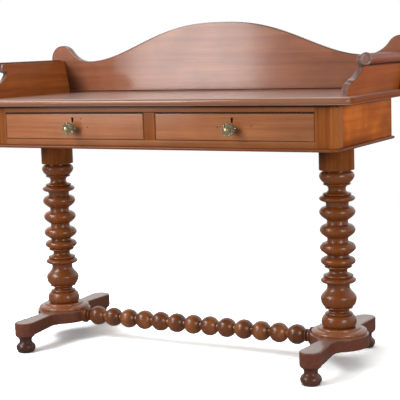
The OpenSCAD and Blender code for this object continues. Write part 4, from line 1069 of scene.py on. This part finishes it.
# %% Geometry nodes: bobbins
bobbins, took = start_group("bobbins", {
    "Balls": 13, "Rings per Ball": 19, "Around": 64, "First Ball": (-0.3444, 0.008, 0.078), "Step": 0.0574,
    "Ball Radius": 0.0295, "Neck Radius": 0.013}, geometry=True)
per_ball, ball_r = took["Rings per Ball"], took["Ball Radius"]
ring_count = took["Balls"] * per_ball
sheet = add_node(bobbins, "GeometryNodeMeshGrid", {
    "Size X": 1.0, "Size Y": 1.0, "Vertices X": ring_count, "Vertices Y": took["Around"] + 1.0})
lengthwise, crosswise, _ = split(place_of(bobbins))
ring = maths("ROUND", (lengthwise + 0.5) * (ring_count - 1.0))
ball = maths("FLOOR", (ring + 0.5) / per_ball)
share = (ring - ball * per_ball) / (per_ball - 1.0)
bend = maths("ARCCOSINE", took["Neck Radius"] / ball_r) * (share * 2.0 - 1.0)
radius, spin = ball_r * maths("COSINE", bend), (crosswise + 0.5) * (2 * math.pi)
rolled = join(ball * took["Step"] + ball_r * maths("SINE", bend), radius * maths("COSINE", spin),
              radius * maths("SINE", spin))
wrapped = add_node(bobbins, "GeometryNodeSetPosition", {"Geometry": sheet, "Position": rolled + took["First Ball"]})
marked = add_node(bobbins, "GeometryNodeStoreNamedAttribute", {
    "Geometry": wrapped, "Name": "ridge", "Value": maths("COSINE", bend) * 2.2 - 1.4},
                  data_type="FLOAT", domain="POINT")
end_geometry(bobbins, add_node(bobbins, "GeometryNodeMergeByDistance", {"Geometry": marked, "Distance": 1e-5}),
             stretcher_timber)

# %% Stretcher
BALLS, BALL_R, NECK_R, STRETCHER_Z = 13, 29.5, 13.0, 78.0
COLLAR_R, END_TURNING, TENON_R, TENON_L = 26.0, 24.5, 9.0, 26.0
ball_half = math.sqrt(BALL_R ** 2 - NECK_R ** 2)
collar_out = ball_half + END_TURNING
first_ball = -(COLLAR_X - collar_out)
shape = run_geometry(bobbins, bpy.data.meshes.new("start"), {
    "Balls": BALLS, "Step": -2 * first_ball / (BALLS - 1) * MM, "Ball Radius": BALL_R * MM, "Neck Radius": NECK_R * MM,
    "First Ball": metres((first_ball, MID_Y, STRETCHER_Z))})
end_line = shifted(NECK_R, ball_half, [(0, 0), (0, 0.5), (3.4, 0.9), (5.4, 2.2), (6, 4), (5.2, 5.4), (3, 6.6),
                                       (1.4, 7.6), (1, 9)])
end_line += shifted(NECK_R, collar_out, [(1, -13.4), (2, -12.6), (5.6, -11.8)])
end_line += shifted(COLLAR_R, collar_out, [(-4.2, -10.2), (-4, -9.6), (-4, -8.2), (-2, -7.6), (-0.6, -6.6), (0, -5.2),
                                           (-0.6, -3.8), (-1.8, -2.9), (-1.8, -2.4), (-0.4, -1.8), (0, -1.2), (0, 0)])
end_line += [(TENON_R, collar_out), (TENON_R, collar_out + TENON_L), (0, collar_out + TENON_L)]
for side in (-1, 1):
    turned([metres(point) for point in end_line],
           lambda a, b, h: (side * (h - first_ball * MM), MID_Y * MM + a, STRETCHER_Z * MM + b),
           64, 6 * MM, 3 * MM, shape)
bmesh.ops.remove_doubles(shape, verts=shape.verts, dist=2e-5)
make_piece("bobbin_turned_stretcher", shape, stretcher_timber, "stretcher", in_metres=True)

# %% [markdown]
# ## Glass knobs
# Pressed glass is poured into a mould with petals. The mould is a turned shape whose head is
# pulled in between the petals, so the knob is turned first and a rule then moves its points:
# how far a point is drawn in depends on its angle round the axis and on how far out it lies.

# %% Geometry nodes: petals
petals, took = start_group("petals", {
    "Centre": (0.0, 0.0, 0.0), "Petals": 8, "Depth": 0.17, "Starts": 0.016, "Full": 0.024}, geometry=True)
x, y, z = split(place_of(petals) - took["Centre"])
lobe = maths("ABSOLUTE", maths("COSINE", maths("ARCTAN2", z, x) * took["Petals"] * 0.5))
pull = (1.0 - maths("POWER", lobe, 0.6)) * took["Depth"] * ramp(y * -1.0, took["Starts"], took["Full"])
drawn_in = join(x * (1.0 - pull), y, z * (1.0 - pull)) + took["Centre"]
end_geometry(petals, add_node(petals, "GeometryNodeSetPosition", {
    "Geometry": took["Geometry"], "Position": drawn_in}), knob_glass)

# %% [markdown]
# ## Screws
# A slotted wood screw is a cone, a shank and a saw cut. One tree makes the screw and puts a
# copy at every point it is given, each turned by its own random amount, as a hand would leave it.

# %% Geometry nodes: screws
screws, took = start_group("screws", {
    "Head Radius": 0.005, "Head Height": 0.003, "Shank Radius": 0.0025, "Length": 0.034, "Slot Width": 0.0011,
    "Slot Depth": 0.0012, "Pointing": (0.0, 0.0, 0.0), "Seed": 4}, geometry=True)
head = add_node(screws, "GeometryNodeMeshCone", {
    "Vertices": 32, "Radius Top": took["Shank Radius"], "Radius Bottom": took["Head Radius"],
    "Depth": took["Head Height"]})
cut = add_node(screws, "GeometryNodeMeshCube", {
    "Size": join(took["Head Radius"] * 3.0, took["Slot Width"], took["Slot Depth"] * 2.0)})
slotted = add_node(screws, "GeometryNodeMeshBoolean", {0: head, 1: cut}, operation="DIFFERENCE")
shank = add_node(screws, "GeometryNodeMeshCylinder", {
    "Vertices": 20, "Radius": took["Shank Radius"], "Depth": took["Length"] - took["Head Height"]})
raised = add_node(screws, "GeometryNodeTransform", {
    "Geometry": shank, "Translation": join(0.0, 0.0, (took["Length"] + took["Head Height"]) * 0.5)})
joined = add_node(screws, "GeometryNodeJoinGeometry", {0: slotted})
screws.links.new(raised.socket, joined.socket.node.inputs[0])
placed = add_node(screws, "GeometryNodeInstanceOnPoints", {
    "Points": took["Geometry"], "Instance": joined, "Rotation": took["Pointing"]})
chance = add_node(screws, "FunctionNodeRandomValue", {2: 0.0, 3: 2 * math.pi, "Seed": took["Seed"]}, data_type="FLOAT")
end_geometry(screws, add_node(screws, "GeometryNodeRotateInstances", {
    "Instances": placed, "Rotation": join(0.0, 0.0, chance[1])}), screw_steel)


# %% Screws into the top, and the lock screws
def put_screws(name, node, values, axis, finish, body):
    """A screw at each place where the CAD node has one. Tips go up on axis 2, and backwards on axis 1."""
    heads = []
    for low, high in loose_parts(node):
        heads.append([(a + b) / 2 * MM for a, b in zip(low, high)])
        heads[-1][axis] = (low if axis == 2 else high)[axis] * MM
    points = bpy.data.meshes.new("heads")
    points.from_pydata(heads, [], [])
    turn = (0.0 if axis == 2 else math.pi / 2, 0.0, 0.0)
    make_piece(name, run_geometry(screws, points, dict(values, Pointing=turn)), finish, node, body, True)
    print(name, len(heads), "screws")


put_screws("slotted_screws_into_top", "top_screws", {"Seed": 4}, 2, screw_steel, "stand")
for hand, seed in (("left", 11), ("right", 23)):
    put_screws(hand + "_lock_slotted_screws", hand + "_lock_screws", {
        "Head Radius": 0.003, "Head Height": 0.0015, "Shank Radius": 0.0014, "Length": 0.017,
        "Slot Width": 0.0007, "Slot Depth": 0.0007, "Seed": seed}, 1, lock_brass, hand + "_drawer")

# %% [markdown]
# ## Drawers
# A drawer front is a thick polished board, cut behind for the sides, the bottom and the lock,
# and bored through for the keyhole and the knob's bolt. The board is made with its arrises
# first and the cuts come after it, as they would at the bench. The knob, turned and then
# pressed into petals, and its bolt are made on the same bore.

# %% Keyholes and bores
KEYHOLE_D, KEYHOLE_SLOT, KEYHOLE_H, KEYHOLE_Z = 5.8, 4.0, 13.0, 719.0
KNOB_Z = sum(corner[2] for corner in millimetres("left_knob")) / 2
BOLT_R, BORE_R, BORE_DEEP = 2.5, 2.7, 24


def keyhole_cutter(x, front_y):
    """The keyhole's outline, drawn a little wider at the front where keys have worn it."""
    half, foot, round_foot = KEYHOLE_SLOT / 2, KEYHOLE_Z - KEYHOLE_H / 2, 0.6
    slot_angle = math.degrees(math.asin(KEYHOLE_SLOT / KEYHOLE_D))
    around = arc(0, KEYHOLE_Z + (KEYHOLE_H - KEYHOLE_D) / 2, KEYHOLE_D / 2, -90 + slot_angle, 270 - slot_angle, 28)
    line = outline(around + [(-half, foot + round_foot), (-half + round_foot, foot),
                             (half - round_foot, foot), (half, foot + round_foot)])
    rows = [[(x + a, front_y + deep, b) for a, b in stepped_in(line, inset)]
            for inset, deep in ((-1.0, -0.5), (-1.0, 0.0), (-0.85, 0.35), (0.0, 1.8), (0.0, 22.5))]
    return skin(rows, [[0] * len(line)] * len(rows))


def bore(x, y, z):
    rows = [[(x + a, y + h, z + b) for a, b in arc(0, 0, BORE_R, 0, 348.75, 31)] for h in (0, BORE_DEEP)]
    return skin(rows, [[0] * 32] * 2)


# %% Drawer fronts
SIDE_LAP, LET_IN = 8, 0.1
for _, hand in HANDS:
    node, body = hand + "_drawer_front", hand + "_drawer"
    low, high = millimetres(node)
    middle, behind = (low[0] + high[0]) / 2, high[1] + PAST
    front = board_for(node, node + "_polished", front_timber, 1.1, body)
    outer, inner, bottom, case = (millimetres(hand + name) for name in (
        "_drawer_side_outer", "_drawer_side_inner", "_drawer_bottom", "_lock_case"))
    cutters = [keyhole_cutter(middle, low[1]), bore(middle, low[1] - PAST, KNOB_Z)]
    for from_low, to_high in (outer, inner):
        from_x, to_x = (from_low[0], high[0] + 5) if from_low[0] > middle else (low[0] - 5, to_high[0])
        cutters.append(plain_box((from_x, high[1] - SIDE_LAP, low[2] - PAST), (to_x, behind, outer[1][2])))
    cutters.append(plain_box((bottom[0][0], bottom[0][1] - LET_IN, bottom[0][2] - LET_IN),
                             (bottom[1][0], behind, bottom[1][2] + LET_IN)))
    cutters.append(plain_box([c - LET_IN for c in case[0]], (case[1][0] + LET_IN, behind, high[2] + PAST)))
    cut_away(front, cutters)
    # The walls of the keyhole are marked as a deep hollow, so the finish paints them dark: painted shade inside the
    # hole.
    for vert, ridge in zip(front.data.vertices, front.data.attributes["ridge"].data):
        x, y, z = (c / MM for c in vert.co)
        if abs(x - middle) < 4.2 and y > low[1] + 0.2 and abs(z - KEYHOLE_Z) < KEYHOLE_H / 2 + 1:
            ridge.value = -1.6

# %% Knobs
def lying(x, y, z, way=-1):
    return lambda a, b, h: (x + a, y + way * h, z + b)


KNOB_R, KNOB_LONG = 20.0, 38.5
knob_line = curve_through([(0.6, 0), (0.62, 0.05), (0.5, 0.12), (0.45, 0.24), (0.48, 0.36), (0.7, 0.46), (0.9, 0.55),
                           (0.985, 0.64), (1, 0.7), (0.975, 0.76), (0.88, 0.81), (0.74, 0.83), (0.62, 0.8), (0.57, 0.8),
                           (0.54, 0.86), (0.49, 0.94), (0.42, 0.985), (0.34, 1)], 4)
knob_line = [(0.56, 0)] + knob_line + [(0.3, 1)]
knob_line = [(BORE_R, 0)] + [(r * KNOB_R, h * KNOB_LONG) for r, h in knob_line] + [(BORE_R, KNOB_LONG), (BORE_R, 0)]
knob_seats = {}
for _, hand in HANDS:
    low, high = millimetres(hand + "_knob")
    middle, front_y = knob_seats[hand] = (low[0] + high[0]) / 2, high[1]
    shape = turned(knob_line, lying(middle, front_y, KNOB_Z), 128, 4.0, 3.0)
    sew(shape)
    shape = run_geometry(petals, mesh_of(shape, "turned_knob"), {
        "Centre": metres((middle, front_y, KNOB_Z)), "Depth": 0.27, "Starts": 0.4 * KNOB_LONG * MM,
        "Full": 0.6 * KNOB_LONG * MM})
    make_piece(hand + "_pressed_glass_knob", shape, knob_glass, hand + "_knob", hand + "_drawer", True)

# %% [markdown]
# ## Knob bolts
# A long bolt with a domed head runs through each knob and the drawer front. A washer and a
# hexagonal nut hold it inside the drawer, so the three are shaped as one fastening.

# %% Knob bolts
bolt_line = [(0, -68.5), (BOLT_R - 0.5, -68.5), (BOLT_R, -68), (BOLT_R, 0), (5.5, 0), (5.5, 0.35), (5.2, 1.1),
             (4.4, 1.75), (3.4, 2.2), (2.0, 2.45), (0, 2.5)]
washer_line = [(BOLT_R, 0), (4.8, 0), (5, 0.2), (5, 0.8), (4.8, 1), (BOLT_R, 1), (BOLT_R, 0)]
nut_line = outline([(x, y, 0.35) for x, y in arc(0, 0, 4.6, 0, 300, 5)], 0.35, 0.5)
WASHER_AT, WASHER_THICK, NUT_THICK = 22, 1, 4.0
for hand, (middle, front_y) in knob_seats.items():
    shape = turned(bolt_line, lying(middle, front_y - KNOB_LONG, KNOB_Z), 48, 2.0, 1.0)
    turned(washer_line, lying(middle, front_y + WASHER_AT, KNOB_Z, 1), 48, 2.0, 1.0, shape)
    plate(nut_line, arrised(NUT_THICK, 0.3, 0.4),
          lying(middle, front_y + WASHER_AT + WASHER_THICK, KNOB_Z, 1), shape)
    make_piece(hand + "_knob_bolt_with_nut", shape, knob_metal, hand + "_knob_bolt",
               hand + "_drawer")

# %% [markdown]
# ## Drawer backs and framing
# The drawers' backs are thin softwood boards, and what carries the drawers is planed softwood
# too. Plain strips and blocks are rebuilt here with slightly broken edges, as a plane leaves
# them; the bored and grooved pieces keep their CAD shape.

# %% Drawer backs and plain framing
for _, hand in HANDS:
    board_for(hand + "_drawer_back", hand + "_drawer_back_board", lining_timber, 0.8, hand + "_drawer")
for node, name in (("centre_runner", "runner_between_drawers"), ("centre_guide", "guide_between_drawers"),
                   ("guide_left", "guide_at_left_end"), ("guide_right", "guide_at_right_end"),
                   ("drawer_stops", "drawer_stop_blocks"), ("glue_blocks", "glue_blocks_under_top")):
    board_for(node, name, carcase_timber, 0.8)

# %% [markdown]
# ## The studio
# A pale floor under the stand carries its shadow, and everything round it is white. A tall
# window stands in front on the left: it is what the polished panel mirrors. A second soft
# light hangs in front of it, higher up, and a weaker one fills the right. To a reflection, the
# room in front is dim and the floor is grey, as in a real room, so that the polish doesn't lie
# like a fog on the timber. The camera sees them white, with a darker shade close to the feet.

# %% Floor
FLOOR_HALF, FLOOR_GLOW, FLOOR_GAIN, CLOSE_SHADE, FLOOR_SHEEN = 14.0, 0.02, (2.7, 2.84, 2.9), 0.44, 0.35
WHITE = (1, 1, 1, 1)
mesh = bpy.data.meshes.new("studio_floor")
mesh.from_pydata(rectangle((-FLOOR_HALF, -FLOOR_HALF), (FLOOR_HALF, FLOOR_HALF), 0), [], [(0, 1, 2, 3)])
floor_finish, tree, place = start_material("studio_floor_white")
grain = ramp(noise(place, 60.0, 3.0), 0.3, 0.7)
cloth = add_node(tree, "ShaderNodeBsdfDiffuse", {"Color": blend(grain, (0.86, 0.86, 0.86, 1), (0.9, 0.9, 0.9, 1))})
open_air = ramp(add_node(tree, "ShaderNodeAmbientOcclusion", {"Distance": 0.3}, samples=8)["AO"], 0.25, 0.95)
bright = add_node(tree, "ShaderNodeBsdfDiffuse", {
    "Color": blend(open_air, (*(c * CLOSE_SHADE for c in FLOOR_GAIN), 1), (*FLOOR_GAIN, 1))})
sheen = add_node(tree, "ShaderNodeBsdfDiffuse", {"Color": (FLOOR_SHEEN, FLOOR_SHEEN, FLOOR_SHEEN, 1)})
glow = add_node(tree, "ShaderNodeEmission", {"Color": WHITE, "Strength": FLOOR_GLOW})
rays = add_node(tree, "ShaderNodeLightPath")
lit = add_node(tree, "ShaderNodeAddShader", {0: bright, 1: glow})
lit = add_node(tree, "ShaderNodeMixShader", {0: rays["Is Glossy Ray"], 1: lit, 2: sheen})
white = add_node(tree, "ShaderNodeEmission", {
    "Color": WHITE, "Strength": 1.0 - rays["Is Glossy Ray"] * (1.0 - FLOOR_SHEEN)})
seen = add_node(tree, "ShaderNodeMixShader", {0: ramp(length(place), 1.4, 2.6), 1: lit, 2: white})
direct = maths("MAXIMUM", rays["Is Camera Ray"], maths("MAXIMUM", rays["Is Glossy Ray"], rays["Is Transmission Ray"]))
end_material(floor_finish, add_node(tree, "ShaderNodeMixShader", {0: direct, 1: cloth, 2: seen}))
mesh.materials.append(floor_finish)
put_in_scene("studio_floor", mesh)
print("floor:", 2 * FLOOR_HALF, "m wide, with", len(tree.nodes), "nodes in its finish")

# %% World
ROOM_IN_FRONT, ROOM_BEHIND, ROOM_LIGHT = 0.12, 1.0, 0.32
world = bpy.data.worlds.new("studio_world")
bpy.context.scene.world = world
world.use_nodes = True
tree = world.node_tree
tree.nodes.clear()
rays = add_node(tree, "ShaderNodeLightPath")
way = split(add_node(tree, "ShaderNodeTexCoord")["Generated"])
mirrored = rays["Is Glossy Ray"] * ramp(way[1], -0.15, 0.35, ROOM_IN_FRONT, ROOM_BEHIND)
direct = maths("MAXIMUM", rays["Is Camera Ray"], maths("MAXIMUM", mirrored, rays["Is Transmission Ray"]))
room = maths("MAXIMUM", direct, (1.0 - rays["Is Glossy Ray"]) * ROOM_LIGHT)
add_node(tree, "ShaderNodeOutputWorld", {
    "Surface": add_node(tree, "ShaderNodeBackground", {"Color": WHITE, "Strength": room})})
bpy.context.scene.view_settings.view_transform = "Standard"
print("world:", len(tree.nodes), "nodes")


# %% Lights
def soft_light(name, place, target, size, power, colour=(1, 1, 1)):
    data = bpy.data.lights.new(name, "AREA")
    data.shape = "RECTANGLE"
    (data.size, data.size_y), data.energy, data.color = size, power, colour
    light = put_in_scene(name, data)
    aim = (Vector(target) - Vector(place)).to_track_quat("-Z", "Y")
    light.matrix_world = Matrix.Translation(place) @ aim.to_matrix().to_4x4()
    light.visible_camera = False


soft_light("left_window", (-1.85, -3.0, 1.75), (-1.85, 0.0, 1.75), (0.92, 2.45), 50)
soft_light("window_curtain", (-2.5, -3.0, 1.75), (-2.5, 0.0, 1.75), (0.5, 2.45), 0.6)
soft_light("high_front", (-1.9, -1.75, 2.5), (0, 0, 0.5), (2.0, 0.8), 66)
soft_light("right_fill", (2.8, -1.5, 1.2), (0.5, 0, 0.7), (1.2, 1.4), 38, (1.0, 0.95, 0.88))

# %% [markdown]
# ## Pieces that keep their CAD shape
# Dowels, bearers, kickers, drawer sides and bottoms, and the locks are hidden or already have
# the bores and grooves they need. They get a finish and nothing else.

# %% Finishes on the carried-over nodes
for name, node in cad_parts.items():
    finish = carcase_timber
    if "lock_" in name:
        finish = screw_steel if name.endswith("lock_bolt") else lock_brass
    elif "drawer_" in name and name != "drawer_stops" or name == "panel_dowels":
        finish = lining_timber
    node.data.materials.clear()
    node.data.materials.append(finish)
print("finished", len(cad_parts), "nodes")
